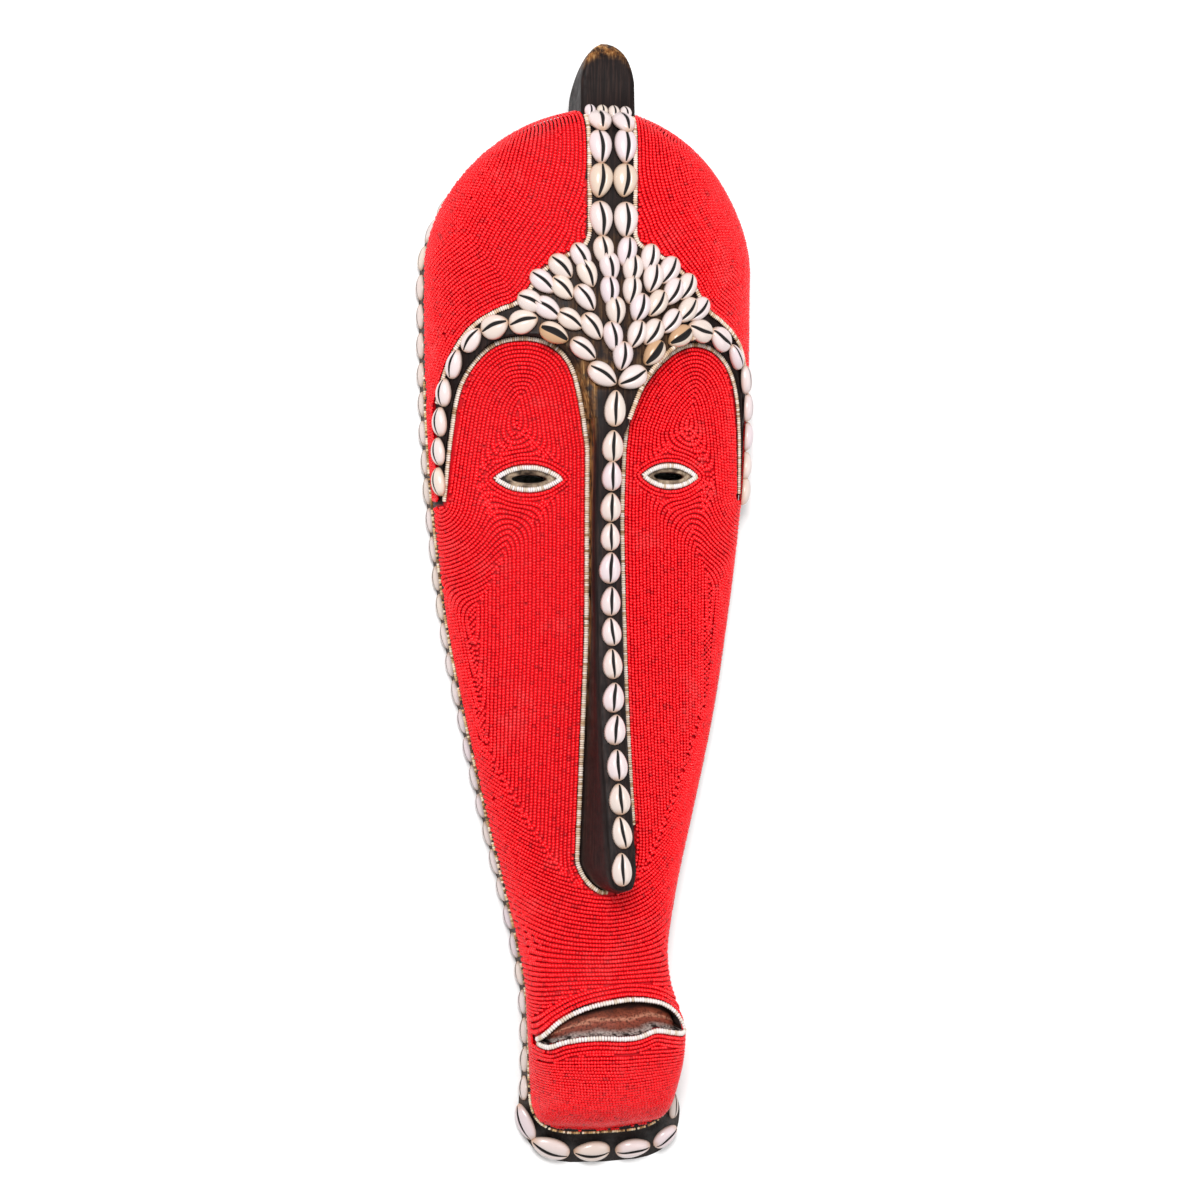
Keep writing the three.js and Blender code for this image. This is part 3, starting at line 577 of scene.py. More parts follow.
# Where hands have worn the stain off, where the recesses of mouth and eyes lie, and the bare back.
NOSE_WORN_STRIP = [(-60, 1.5), (20, 2.5), (60, 4), (100, 9), (150, 14)]
points = np.array([v.co[:] for v in carved_mask.data.vertices]) / MM - SHIFT / MM
facing = np.array([v.normal[:] for v in carved_mask.data.vertices])
x, y, z = points.T
from_ridge = x - smooth(RIDGE_LINE, y)
nose_half = np.where(from_ridge > 0, smooth(NOSE_RIGHT, y), smooth(NOSE_LEFT, y))
on_nose = ease(y, NOSE_TIP_Y - 6, NOSE_TIP_Y) * (1 - ease(y, 150, 160)) * (np.abs(from_ridge) < nose_half + 1)
above_foot = z - face(0 * y, y)[:, 2] + WOOD_DEPTH
strip = smooth(NOSE_WORN_STRIP, y)
nose_foot_left = on_nose * (from_ridge < 0) * (1 - ease(above_foot, strip, strip + 2.5)) * ease(y, -100, 20)
root = ease(y, 92, 110) * (1 - ease(y, 150, 175)) * ease(x, -24, -18) * (1 - ease(x, -13, -9.5)) * (z > 60)
crest_end = ease(y + 12 * (np.abs(x - CREST_X) / (CREST_WIDTH / 2)) ** 2.4, 358, 364) * (y > 325)
among_shells = (1 - ease(np.hypot(x - 1, y - 190), 40, 60)) * (z > 70) * 0.13
nose_worn = np.maximum(nose_foot_left, root * 0.7)
worn = np.maximum(nose_worn, np.maximum(crest_end * ease(z, 30, 46), among_shells))
mark_points(carved_mask, "worn", np.clip(worn, 0, 1))
in_mouth = is_inside(points[:, :2], mouth_line) & (z > 40) & (facing[:, 2] > -0.5)
mark_points(carved_mask, "mouth", in_mouth)
# From 0 at the lower lip to 1 at the upper lip. The mouth's colour puts its painted shadow near 1.
upper_lip = np.interp(x, *curved(MOUTH_UPPER, 60).T)
lower_lip = np.interp(x, *curved(MOUTH_LOWER, 60)[::-1].T)
above_lower_lip = (y - lower_lip) / np.maximum(upper_lip - lower_lip, 1)
mark_points(carved_mask, "up_the_mouth", np.clip(above_lower_lip, 0, 1))
in_eyes = np.zeros(len(x))
for eye in EYES.values():
    ex, ey = eye["middle"]
    reach = np.hypot((x - ex) / (eye["half"][0] + 1), (y - ey) / (eye["half"][1] + 1))
    in_eyes = np.maximum(in_eyes, (1 - ease(reach, 0.72, 0.86)) * (z > 40) * (facing[:, 2] > 0.2))
mark_points(carved_mask, "eye", in_eyes)
mark_points(carved_mask, "back", 1 - ease(facing[:, 2], -0.6, -0.2))


def attribute(material, name):
    return add_node(material, "ShaderNodeAttribute", {"attribute_name": name}).outputs["Fac"]


def stretched(material, place, sizes):
    """Places for a pattern that is stretched to three sizes in millimetres."""
    scale = [1 / (size * MM) for size in sizes]
    node = add_node(material, "ShaderNodeMapping", inputs={"Scale": scale}, links={"Vector": place})
    return node.outputs["Vector"]


def noise(material, place, scale, detail, roughness, distortion=0.0):
    node = add_node(
        material, "ShaderNodeTexNoise",
        inputs={"Scale": scale, "Detail": detail, "Roughness": roughness, "Distortion": distortion},
        links={"Vector": place},
    )
    return node.outputs["Fac"]


def rescaled(material, value, low, high, first, last):
    """A value carried from one range to another, and kept within it."""
    node = add_node(
        material, "ShaderNodeMapRange",
        inputs={"From Min": low, "From Max": high, "To Min": first, "To Max": last},
        links={"Value": value},
    )
    return node.outputs["Result"]


def ramp(material, value, stops):
    """Colour read from a ramp of places and sRGB colours."""
    node = add_node(material, "ShaderNodeValToRGB", links={"Fac": value})
    elements = node.color_ramp.elements
    while len(elements) > 1:
        elements.remove(elements[-1])
    elements[0].position = stops[0][0]
    elements[0].color = srgb(stops[0][1])
    for place, colour in stops[1:]:
        elements.new(place).color = srgb(colour)
    return node.outputs["Color"]


def mix_colours(material, factor, first, second):
    """Mixes two colours, each an output or an sRGB hex value."""
    node = add_node(material, "ShaderNodeMix", {"data_type": "RGBA"})
    link(material, factor, node.inputs[0])
    for colour, target in ((first, node.inputs[6]), (second, node.inputs[7])):
        if isinstance(colour, str):
            target.default_value = srgb(colour)
        else:
            link(material, colour, target)
    return node.outputs[2]


def reckon(material, operation, first, second):
    """Sum, product or the like of two values, each an output or a number, kept from 0 to 1."""
    node = add_node(material, "ShaderNodeMath", {"operation": operation, "use_clamp": True})
    for value, target in ((first, node.inputs[0]), (second, node.inputs[1])):
        if isinstance(value, (int, float)):
            target.default_value = value
        else:
            link(material, value, target)
    return node.outputs[0]


# Stained wood: near black with a dull sheen, straight grain a millimetre or two wide that runs up
# the mask, golden brown where it is worn, red brown in the mouth with a painted shadow under its
# upper lip.
GRAIN = (1.4, 30, 1.4)
MOUTH_STREAK = (26, 3, 3)
BLOTCH = 9
CRACK = 1.6
wood, wood_shader = new_material("stained_carved_wood", "#120D0C", 0.5, Specular_IOR_Level=0.16)
place = add_node(wood, "ShaderNodeTexCoord").outputs["Object"]
grain = noise(wood, stretched(wood, place, GRAIN), 1.0, 4.0, 0.6, 0.3)
blotches = noise(wood, place, 1 / (BLOTCH * MM), 5.0, 0.65)
stain = ramp(wood, grain, [(0.3, "#0B0606"), (0.5, "#1A100F"), (0.7, "#2E1F1B")])
worn_wood = ramp(wood, grain, [(0.32, "#3A2010"), (0.5, "#86562A"), (0.68, "#CFA066")])
streaks = noise(wood, stretched(wood, place, MOUTH_STREAK), 1.0, 5.0, 0.6)
up_the_mouth = add_node(
    wood, "ShaderNodeMath", {"operation": "MULTIPLY_ADD"}, inputs={1: 0.34},
    links={0: streaks, 2: attribute(wood, "up_the_mouth")},
)
# The mouth from the lower lip up: pale glue, red brown wood with lighter streaks, then a painted shadow that
# darkens to near black under the upper lip.
mouth_wood_and_lip_shadow = ramp(wood, up_the_mouth.outputs[0], [
    (0.17, "#A3948E"), (0.27, "#866A62"), (0.37, "#74382A"), (0.55, "#8A4434"), (0.66, "#B87C64"),
    (0.74, "#864432"), (0.92, "#5E2C1E"), (1.0, "#241310"),
])
cracks = noise(wood, place, 1 / (CRACK * MM), 3.0, 0.7)
mouth_colour_and_lip_shadow = mix_colours(wood, rescaled(wood, cracks, 0.46, 0.62, 0.0, 0.8), mouth_wood_and_lip_shadow, "#3A1C16")
# Eye recesses: tan and brown mottled wood, with painted peach highlights in the palest blotches.
eye_wood_and_highlights = ramp(wood, blotches, [(0.36, "#241A14"), (0.48, "#6E5C4C"), (0.6, "#A8937C"), (0.7, "#D6BFA8")])
back_wood = ramp(wood, grain, [(0.3, "#2A1C13"), (0.5, "#46301F"), (0.7, "#5E432C")])
ragged = reckon(wood, "MULTIPLY", reckon(wood, "SUBTRACT", blotches, 0.36), 5.0)
colour = mix_colours(wood, reckon(wood, "MULTIPLY", attribute(wood, "worn"), ragged), stain, worn_wood)
for mark, marked in (("ground", "#C80A18"), ("mouth", mouth_colour_and_lip_shadow), ("eye", eye_wood_and_highlights), ("back", back_wood)):
    colour = mix_colours(wood, attribute(wood, mark), colour, marked)
link(wood, colour, wood_shader.inputs["Base Color"])
link(wood, rescaled(wood, blotches, 0.3, 0.7, 0.42, 0.68), wood_shader.inputs["Roughness"])
grain_relief = add_node(
    wood, "ShaderNodeBump", inputs={"Strength": 0.5, "Distance": 0.25 * MM}, links={"Height": grain}
)
link(wood, grain_relief.outputs["Normal"], wood_shader.inputs["Normal"])
give(carved_mask, wood, "carved_wood", "wooden_mask")


# Red beadwork on the face and the forehead. Opaque red glass seed beads, strung on thread and
# glued to the wood in rows that follow the brows, the nose and the eyes like ripples.
BEAD_ROW = 2.65
BEAD_PITCH = 2.08
BEAD_ROOM = 1.95
MISSING_BEAD_SHARE = 0.0006
ROW_SPREADS = (0.7, 1.3)
STRING_GAP = 0.3
STRING_WIDTH = 3.6
RIM_STRING_ROOM = 3.2
RIM_STRING_END = 148
EYE_ROWS_START = 7 * BEAD_ROW
EYE_RINGS = 2
MOUTH_RINGS = 3
MOUTH_STRING_WIDTH = 3.9
LEFT_RIM_ROWS_START = 18 * BEAD_ROW
RIGHT_RIM_ROWS_START = 8 * BEAD_ROW
FOREHEAD_LEFT = [
    (-17.2, 325), (-16, 310), (-16.3, 278), (-16.2, 250), (-16.6, 240), (-19.5, 233.5), (-27.5, 228.6),
    (-38, 222.6), (-46.5, 216), (-52.5, 208.5), (-57, 201.5), (-64, 195), (-73, 191.6), (-85.5, 184.4),
    (-93.7, 176.6), (-99.6, 167.4), (-104.8, 155.6), (-108.2, 142.4), (-110.2, 130.6),
]
FOREHEAD_RIGHT = [
    (20.2, 325), (19.6, 310), (18.8, 279.6), (18.4, 250), (18.8, 239.5), (22.5, 234.2), (31, 230.6),
    (42, 224.4), (53, 217), (60.6, 209.5), (65.8, 201.5), (72.5, 193.5), (81.9, 188), (91.8, 181),
    (100, 172.3), (104.6, 162.5), (108, 150), (110, 134),
]
BROW_SIDE_STRIP = 12.8
BROW_SIDE_STRIP_END = 66.5
random = np.random.default_rng(7)


def lay_net(surface, columns=280):
    """Even net over a surface: its points, its normals, and its lengths when it is laid flat."""
    rows = np.arange(CHIN_Y + 0.6, TOP_Y - 0.6, 1.6)
    angles = np.linspace(-math.pi / 2, math.pi / 2, 721)
    dense = surface(*np.meshgrid(angles, rows))
    lengths = np.cumsum(np.linalg.norm(np.diff(dense, axis=1), axis=2), axis=1)
    lengths = np.concatenate([np.zeros((len(rows), 1)), lengths], 1)
    angle = np.array([np.interp(np.linspace(0, each[-1], columns), each, angles) for each in lengths])
    y = np.broadcast_to(rows[:, None], angle.shape)
    points = surface(angle, y)
    across = np.linspace(0, 1, columns) * lengths[:, -1:] - lengths[:, 360:361]
    middle = points[:, columns // 2]
    along = np.concatenate([[0], np.cumsum(np.hypot(np.diff(middle[:, 1]), np.diff(middle[:, 2])))])
    along -= np.interp(0, rows, along)
    return {
        "points": points,
        "normals": normals(surface, angle, y),
        "rows": rows,
        "flat": np.stack([across, np.broadcast_to(along[:, None], across.shape)], -1),
        "along": along,
    }


def read_net(table, place):
    """Values of a table between the net's own points, at (row, column) places."""
    top = np.array(table.shape[:2]) - 2
    cell = np.clip(np.floor(place).astype(int), 0, top)
    share = place - cell
    r, c = cell[..., 0], cell[..., 1]
    down, over = share[..., 0], share[..., 1]
    if table.ndim > 2:
        down, over = down[..., None], over[..., None]
    first = table[r, c] * (1 - over) + table[r, c + 1] * over
    second = table[r + 1, c] * (1 - over) + table[r + 1, c + 1] * over
    return first * (1 - down) + second * down


def find_on_net(net, line):
    """(Row, column) places of points of X and Y."""
    places = []
    for x, y in line:
        row = np.interp(y, net["rows"], np.arange(len(net["rows"])))
        k = min(int(row), len(net["rows"]) - 2)
        share = row - k
        xs = net["points"][k, :, 0] * (1 - share) + net["points"][k + 1, :, 0] * share
        first, last = np.argmin(xs), np.argmax(xs) + 1
        places.append((row, np.interp(x, xs[first:last], np.arange(first, last))))
    return np.array(places)


def laid_flat(net, line):
    return read_net(net["flat"], find_on_net(net, line))


def distance_to(points, line):
    """Distance of points from a line of straight stretches."""
    nearest = np.full(points.shape[:-1], np.inf)
    for a, b in zip(line[:-1], line[1:]):
        step = b - a
        t = np.clip(((points - a) @ step) / max(step @ step, 1e-9), 0, 1)
        gap = points - a - t[..., None] * step
        nearest = np.minimum(nearest, np.hypot(gap[..., 0], gap[..., 1]))
    return nearest


def blend_least(first, second, width):
    """The lesser of two fields, with the corner between them rounded over a width."""
    gap = np.clip(1 - np.abs(first - second) / width, 0, 1)
    return np.minimum(first, second) - width * gap**2 / 4


def level_lines(field, level):
    """Lines on which a field has one value, as (row, column) places from edge to edge of its cells."""
    high = field > level
    mixed = high[:-1, :-1] | high[1:, :-1] | high[:-1, 1:] | high[1:, 1:]
    mixed &= ~(high[:-1, :-1] & high[1:, :-1] & high[:-1, 1:] & high[1:, 1:])
    links = {}
    for r, c in zip(*np.nonzero(mixed)):
        cell = ((r, c, 0), (r, c + 1, 1), (r + 1, c, 0), (r, c, 1))
        crossed = [(a, b, up) for a, b, up in cell if high[a, b] != high[a + up, b + 1 - up]]
        for a, b in zip(crossed[::2], crossed[1::2]):
            links.setdefault(a, []).append(b)
            links.setdefault(b, []).append(a)
    lines = []
    used = set()
    starts = [edge for edge, near in links.items() if len(near) == 1] + list(links)
    for start in starts:
        if start in used:
            continue
        chain = [start]
        used.add(start)
        while True:
            ahead = [edge for edge in links[chain[-1]] if edge not in used]
            if not ahead:
                break
            chain.append(ahead[0])
            used.add(ahead[0])
        if len(chain) < 3:
            continue
        line = []
        for r, c, upright in chain:
            here = field[r, c]
            there = field[r + upright, c + 1 - upright]
            share = (level - here) / (there - here)
            line.append((r + share * upright, c + share * (1 - upright)))
        lines.append(np.array(line))
    return lines


def string_along(net, places, pitch, start=0.0):
    """Beads at an even pitch along a line on a net: centres, directions, normals and places."""
    points = read_net(net["points"], places)
    lengths = lengths_along(points)
    if lengths[-1] < pitch:
        return None
    at = np.arange(start * pitch, lengths[-1], pitch)
    after, before = (read_along(points, lengths, at + step) for step in (pitch * 0.6, -pitch * 0.6))
    direction = after - before
    direction /= np.maximum(np.linalg.norm(direction, axis=1, keepdims=True), 1e-9)
    where = read_along(places, lengths, at)
    return read_along(points, lengths, at), direction, read_net(net["normals"], where), where


# One bead: a short barrel along the thread, rounded above and flat where it is glued down.
BEAD_SIDES = 4
bead_points = []
for end, swell in ((-0.5, 0.74), (0.0, 1.0), (0.5, 0.74)):
    for k in range(BEAD_SIDES + 1):
        turn = math.radians(-18) + math.radians(216) * k / BEAD_SIDES
        bead_points.append((end, 0.5 * swell * math.cos(turn), 0.5 * swell * math.sin(turn)))
bead_points = np.array(bead_points)
RING = BEAD_SIDES + 1
bead_faces = [tuple(range(RING)), tuple(range(3 * RING - 1, 2 * RING - 1, -1))]
for ring in (0, RING):
    for k in range(RING):
        after = (k + 1) % RING
        bead_faces.append((ring + k, ring + RING + k, ring + RING + after, ring + after))


def copies(name, shape, shape_faces, places, frames, sizes, tones, marks=()):
    """One object of many copies of a shape. Each has a place, three axes, three sizes and a tone."""
    count = len(places)
    local = shape[None, :, :] * sizes[:, None, :]
    points = places[:, None, :] + np.einsum("nvk,nkd->nvd", local, frames)
    loops = np.concatenate([np.array(face) for face in shape_faces])
    totals = np.array([len(face) for face in shape_faces])
    offsets = np.arange(count)[:, None] * len(shape)
    mesh = bpy.data.meshes.new(name)
    mesh.vertices.add(count * len(shape))
    mesh.vertices.foreach_set("co", ((points * MM + SHIFT).astype(np.float32)).ravel())
    mesh.loops.add(count * len(loops))
    mesh.loops.foreach_set("vertex_index", (loops[None, :] + offsets).astype(np.int32).ravel())
    mesh.polygons.add(count * len(totals))
    all_totals = np.tile(totals, count)
    starts = np.concatenate([[0], np.cumsum(all_totals)[:-1]])
    mesh.polygons.foreach_set("loop_start", starts.astype(np.int32))
    mesh.polygons.foreach_set("loop_total", all_totals.astype(np.int32))
    mesh.polygons.foreach_set("use_smooth", np.ones(len(all_totals), bool))
    tone = mesh.attributes.new("tone", "FLOAT", "POINT")
    tone.data.foreach_set("value", np.repeat(tones, len(shape)).astype(np.float32))
    for mark, values in marks:
        kept = mesh.attributes.new(mark, "FLOAT", "POINT")
        kept.data.foreach_set("value", np.tile(values, count).astype(np.float32))
    mesh.update(calc_edges=True)
    mesh.validate()
    piece = bpy.data.objects.new(name, mesh)
    bpy.context.collection.objects.link(piece)
    return piece


def bead_object(name, strings, length, width, height, depth, spread=1.0):
    """Beads of several strings as one object, a little uneven as hand work is."""
    centres, directions, up, stretch = (np.concatenate(part) for part in zip(*strings))
    side = np.cross(up, directions)
    whole = np.linalg.norm(side, axis=1) > 0.1
    parts = (centres, directions, up, stretch, side)
    centres, directions, up, stretch, side = (part[whole] for part in parts)
    count = len(centres)
    side /= np.linalg.norm(side, axis=1, keepdims=True)
    sway = random.normal(0, 0.05 * spread, (count, 3))
    directions = directions + sway[:, :1] * side + sway[:, 1:2] * up
    directions /= np.linalg.norm(directions, axis=1, keepdims=True)
    side = np.cross(up, directions)
    side /= np.linalg.norm(side, axis=1, keepdims=True)
    up = np.cross(directions, side)
    frames = np.stack([directions, side, up], 1)
    places = centres - up * (depth + random.normal(0, 0.06 * spread, (count, 1)))
    places = places + side * random.normal(0, 0.07 * spread, (count, 1))
    sizes = np.stack([
        length * random.uniform(0.9, 1.03, count),
        width * stretch * random.uniform(0.94, 1.04, count),
        height * random.uniform(0.94, 1.05, count),
    ], 1)
    return copies(name, bead_points, bead_faces, places, frames, sizes, random.random(count))


face_net = lay_net(face)
dome_net = lay_net(dome)


def row_spread(net, field):
    """How far apart the rows lie on the surface, as a share of their even spacing."""
    points = net["points"]
    down = np.gradient(field, axis=0) / np.maximum(np.linalg.norm(np.gradient(points, axis=0), axis=2), 1e-6)
    over = np.gradient(field, axis=1) / np.maximum(np.linalg.norm(np.gradient(points, axis=1), axis=2), 1e-6)
    return 1 / np.clip(np.hypot(down, over), *ROW_SPREADS)


def bead_rows(net, field, room):
    """Strings of red beads along the level lines of a field, where a second field leaves room."""
    spread = row_spread(net, field)
    usable = room > -4
    low, high = field[usable].min(), field[usable].max()
    far = np.where(usable, field, high + 60)
    strings = []
    for k in range(int(low / BEAD_ROW) - 1, int(high / BEAD_ROW) + 2):
        for line in level_lines(far, (k + 0.5) * BEAD_ROW):
            string = string_along(net, line, BEAD_PITCH, random.random())
            if string is None:
                continue
            centres, directions, up, where = string
            keep = (read_net(room, where) > 0) & (random.random(len(centres)) > MISSING_BEAD_SHARE)
            stretch = read_net(spread, where)
            strings.append((centres[keep], directions[keep], up[keep], stretch[keep]))
    return strings


def fill_gaps(net, field, room, strings):
    """Single beads where rows meet and leave more than a thread's width between them."""
    points = net["points"]
    laid = np.concatenate([string[0] for string in strings])
    near = KDTree(len(laid))
    for k, point in enumerate(laid):
        near.insert(point, k)
    near.balance()
    down = np.gradient(points, axis=0) * np.gradient(field, axis=1)[..., None]
    over = np.gradient(points, axis=1) * np.gradient(field, axis=0)[..., None]
    ahead = over - down
    ahead /= np.maximum(np.linalg.norm(ahead, axis=2, keepdims=True), 1e-9)
    added = []
    # Of the added beads only the last sixty are looked at, as the net is gone through row by row.
    for r, c in zip(*np.nonzero(room > 0)):
        if near.find(points[r, c])[2] < BEAD_ROOM:
            continue
        if any(np.linalg.norm(points[r, c] - points[at]) < BEAD_ROOM for at in added[-60:]):
            continue
        added.append((r, c))
    rows, columns = np.array(added).T
    return points[rows, columns], ahead[rows, columns], net["normals"][rows, columns], np.ones(len(added))


def eye_line(eye, grow, steps=30):
    """Almond outline of an eye, anticlockwise, grown outward."""
    x, y = eye["middle"]
    half_x, half_y = eye["half"]
    points = []
    for lid in (-1, 1):
        for k in range(steps):
            t = -lid * (1 - 2 * k / steps)
            bow = 1 - abs(t) ** 2.2
            points.append((x + t * (half_x + grow), y + lid * (half_y + grow) * bow))
    return points


# On the face: rows run beside the brows and the nose, ring the eyes, follow the rim at the left,
# and lie level from the end of the nose to the chin.
plan = face_net["points"][..., :2]
flat = face_net["flat"]
panel_closed = below(panel_line)
left_part = panel_line[: len(brow_left) + 90]
right_part = panel_line[len(brow_left) + 90 :]
beside_left = distance_to(flat, laid_flat(face_net, left_part[::2]))
beside_right = distance_to(flat, laid_flat(face_net, right_part[::2]))
beside_panel = np.minimum(beside_left, beside_right)
STRING_ROOM = STRING_GAP + STRING_WIDTH
EYE_ROWS_CORNER = 14
RIM_ROWS_CORNER = 12
LEVEL_ROWS_CORNER = 6
BROW_ROWS_CORNER = 50
RIGHT_RIM_ROWS_LEAN = 0.12
face_field = beside_panel - STRING_ROOM
room = np.where(is_inside(plan, panel_closed), 1, -1) * distance_to(plan, panel_line)
room -= STRING_ROOM + BEAD_ROW * 0.4
face_strings = []
for eye in EYES.values():
    eye_edge = eye_line(eye, 0)
    eye_closed = np.array([*eye_edge, eye_edge[0]])
    around = distance_to(flat, laid_flat(face_net, eye_closed))
    face_field = blend_least(face_field, around + EYE_ROWS_START, EYE_ROWS_CORNER)
    outside_eye = np.where(is_inside(plan, eye_edge), -1, 1) * distance_to(plan, eye_closed)
    beyond_string = outside_eye - STRING_GAP
    rings = np.minimum(np.minimum(room, beyond_string), BEAD_ROW * EYE_RINGS - beyond_string)
    face_strings += bead_rows(face_net, beyond_string, rings)
    room = np.minimum(room, beyond_string - BEAD_ROW * (EYE_RINGS + 0.1))
from_left_rim = flat[..., 0] - flat[:, :1, 0]
from_right_rim = flat[:, -1:, 0] - flat[..., 0]
below_left_brow = np.clip(PANEL_LEFT[0][1] - plan[..., 1], 0, None)
below_right_brow = np.clip(PANEL_RIGHT[0][1] - plan[..., 1], 0, None)
left_rim_rows = from_left_rim + LEFT_RIM_ROWS_START
right_rim_rows = from_right_rim + RIGHT_RIM_ROWS_START + RIGHT_RIM_ROWS_LEAN * below_right_brow
for below_brow, rim_rows in ((below_left_brow, left_rim_rows), (below_right_brow, right_rim_rows)):
    face_field = blend_least(face_field, np.where(below_brow > 0, rim_rows, 500), RIM_ROWS_CORNER)

# Level rows from the nose down: bowed under the nose, arched over the mouth, bowed at the chin.
LOW_ROW_BOW = [(-361, 0.0034), (-325, 0.002), (-300, -0.0006), (-268, -0.0016)]
LEFT_ROW_BOW = [*LOW_ROW_BOW, (-245, 0), (-215, 0.0038), (-190, 0.005)]
RIGHT_ROW_BOW = [*LOW_ROW_BOW, (-245, 0.0006), (-215, 0.0065), (-190, 0.0105), (-160, 0.012)]
nose_foot = np.interp(NOSE_TIP_Y, face_net["rows"], face_net["along"])
middle_x = 6
level_y = plan[..., 1]
bow = np.where(plan[..., 0] > middle_x, smooth(RIGHT_ROW_BOW, level_y), smooth(LEFT_ROW_BOW, level_y))
bow *= (plan[..., 0] - middle_x) ** 2
level_rows = np.interp(level_y - bow, face_net["rows"], face_net["along"]) - nose_foot
face_field = blend_least(face_field, level_rows + 2, LEVEL_ROWS_CORNER)
mouth_closed = np.concatenate([mouth_line, mouth_line[:1]])
outside_mouth = np.where(is_inside(plan, mouth_line), -1, 1) * distance_to(plan, mouth_closed)
columns = np.arange(plan.shape[1])
below_bulge = (columns < plan[..., 0].argmin(1)[:, None]) | (columns > plan[..., 0].argmax(1)[:, None])
outside_mouth[below_bulge] = 50
room = np.minimum(room, np.minimum(from_left_rim, from_right_rim) - RIM_STRING_ROOM)
beyond_string = outside_mouth - STRING_GAP - MOUTH_STRING_WIDTH
lips_room = np.minimum(np.minimum(room, beyond_string), BEAD_ROW * MOUTH_RINGS - beyond_string)
room = np.minimum(room, beyond_string - BEAD_ROW * (MOUTH_RINGS + 0.1))

face_strings += bead_rows(face_net, face_field, room)
face_strings += bead_rows(face_net, beyond_string, lips_room)
face_strings.append(fill_gaps(face_net, face_field, room, face_strings))

# On the forehead: rows run beside the stem, bend round the fan of shells and follow the brow,
# and a strip of them goes down beside the ends of the brows.
FOREHEAD_SIDES = (("left", -1, FOREHEAD_LEFT), ("right", 1, FOREHEAD_RIGHT))
forehead_strings = {}
dome_flat = dome_net["flat"]
for side, sign, line in FOREHEAD_SIDES:
    edge = curved(line, 90)
    flat_edge = laid_flat(dome_net, edge)
    strip_rows = (dome_net["rows"] < edge[-1, 1] - 4) & (dome_net["rows"] > BROW_SIDE_STRIP_END)
    rim = dome_flat[strip_rows, 0 if sign < 0 else -1][::-1]
    flat_edge = np.concatenate([flat_edge, rim - (sign * BROW_SIDE_STRIP, 0)])
    turn_at = int((edge[:, 1] > 240).sum())
    from_stem = distance_to(dome_flat, flat_edge[:turn_at])
    from_brow = distance_to(dome_flat, flat_edge[turn_at:])
    field = blend_least(from_stem, from_brow, BROW_ROWS_CORNER)
    far = sign * 400
    closed = [*map(tuple, flat_edge), (far, flat_edge[-1, 1]), (far, 600), (flat_edge[0, 0], 600)]
    room = np.where(is_inside(dome_flat, closed), 1, -1) * distance_to(dome_flat, flat_edge) - BEAD_ROW * 0.4
    from_rim = np.minimum(dome_flat[..., 0] - dome_flat[:, :1, 0], dome_flat[:, -1:, 0] - dome_flat[..., 0])
    low_rim = dome_net["points"][..., 1] < RIM_STRING_END
    room = np.minimum(room, from_rim - np.where(low_rim, RIM_STRING_ROOM, 1.3))
    forehead_strings[side] = bead_rows(dome_net, field, room)
    forehead_strings[side].append(fill_gaps(dome_net, field, room, forehead_strings[side]))

# The wood under the beads is soaked with red glue.
on_dome = ~is_inside(points[:, :2], panel_closed)
beside_stem = np.zeros(len(x), bool)
for line, rim_x, rim_y, stem_x in ((FOREHEAD_LEFT, -OUTSIDE, 130, -19), (FOREHEAD_RIGHT, OUTSIDE, 134, 20)):
    closed = [*map(tuple, curved(line, 60)), (rim_x, rim_y), (rim_x, 400), (stem_x, 400)]
    beside_stem |= is_inside(points[:, :2], closed)
beside_brow = (np.abs(x) > 104) & (y > BROW_SIDE_STRIP_END) & (y < 135) & (z < 34)
on_nose_foot = np.abs(from_ridge) < nose_half + 2
far_in = distance_to(points[:, :2], panel_line) > 3.4
by_lips = distance_to(points[:, :2], mouth_closed) < 1.6
on_face = ~on_dome & far_in & ~(on_nose_foot & (y > NOSE_TIP_Y)) & (in_eyes < 0.1) & ~in_mouth & ~by_lips
red = np.where(on_dome, beside_stem | beside_brow, on_face) & (z > smooth(EDGE_HEIGHTS, y) + 0.5)
red &= (facing[:, 1] < 0.55) & ((y < 300) | (np.abs(x - CREST_X) > CREST_WIDTH / 2 + 1))
mark_points(carved_mask, "ground", red)


DUST_PATCH = 38


def glass_bead_material(name, stops, roughness, dust):
    """Opaque pressed glass: its colour differs a little from bead to bead, with glints and pale dust."""
    material, shader = new_material(name, stops[1][1], roughness, IOR=1.5, Specular_IOR_Level=0.4)
    place = add_node(material, "ShaderNodeTexCoord").outputs["Object"]
    dusty = rescaled(material, noise(material, place, 1 / (DUST_PATCH * MM), 4.0, 0.7), 0.56, 0.74, 0.0, 0.15)
    glass = ramp(material, attribute(material, "tone"), stops)
    link(material, mix_colours(material, dusty, glass, dust), shader.inputs["Base Color"])
    return material


red_glass = glass_bead_material("red_seed_bead_glass", [
    (0.0, "#C00010"), (0.06, "#E80012"), (0.5, "#FA0414"), (0.94, "#FF1420"), (1.0, "#D80412"),
], 0.3, "#F08080")


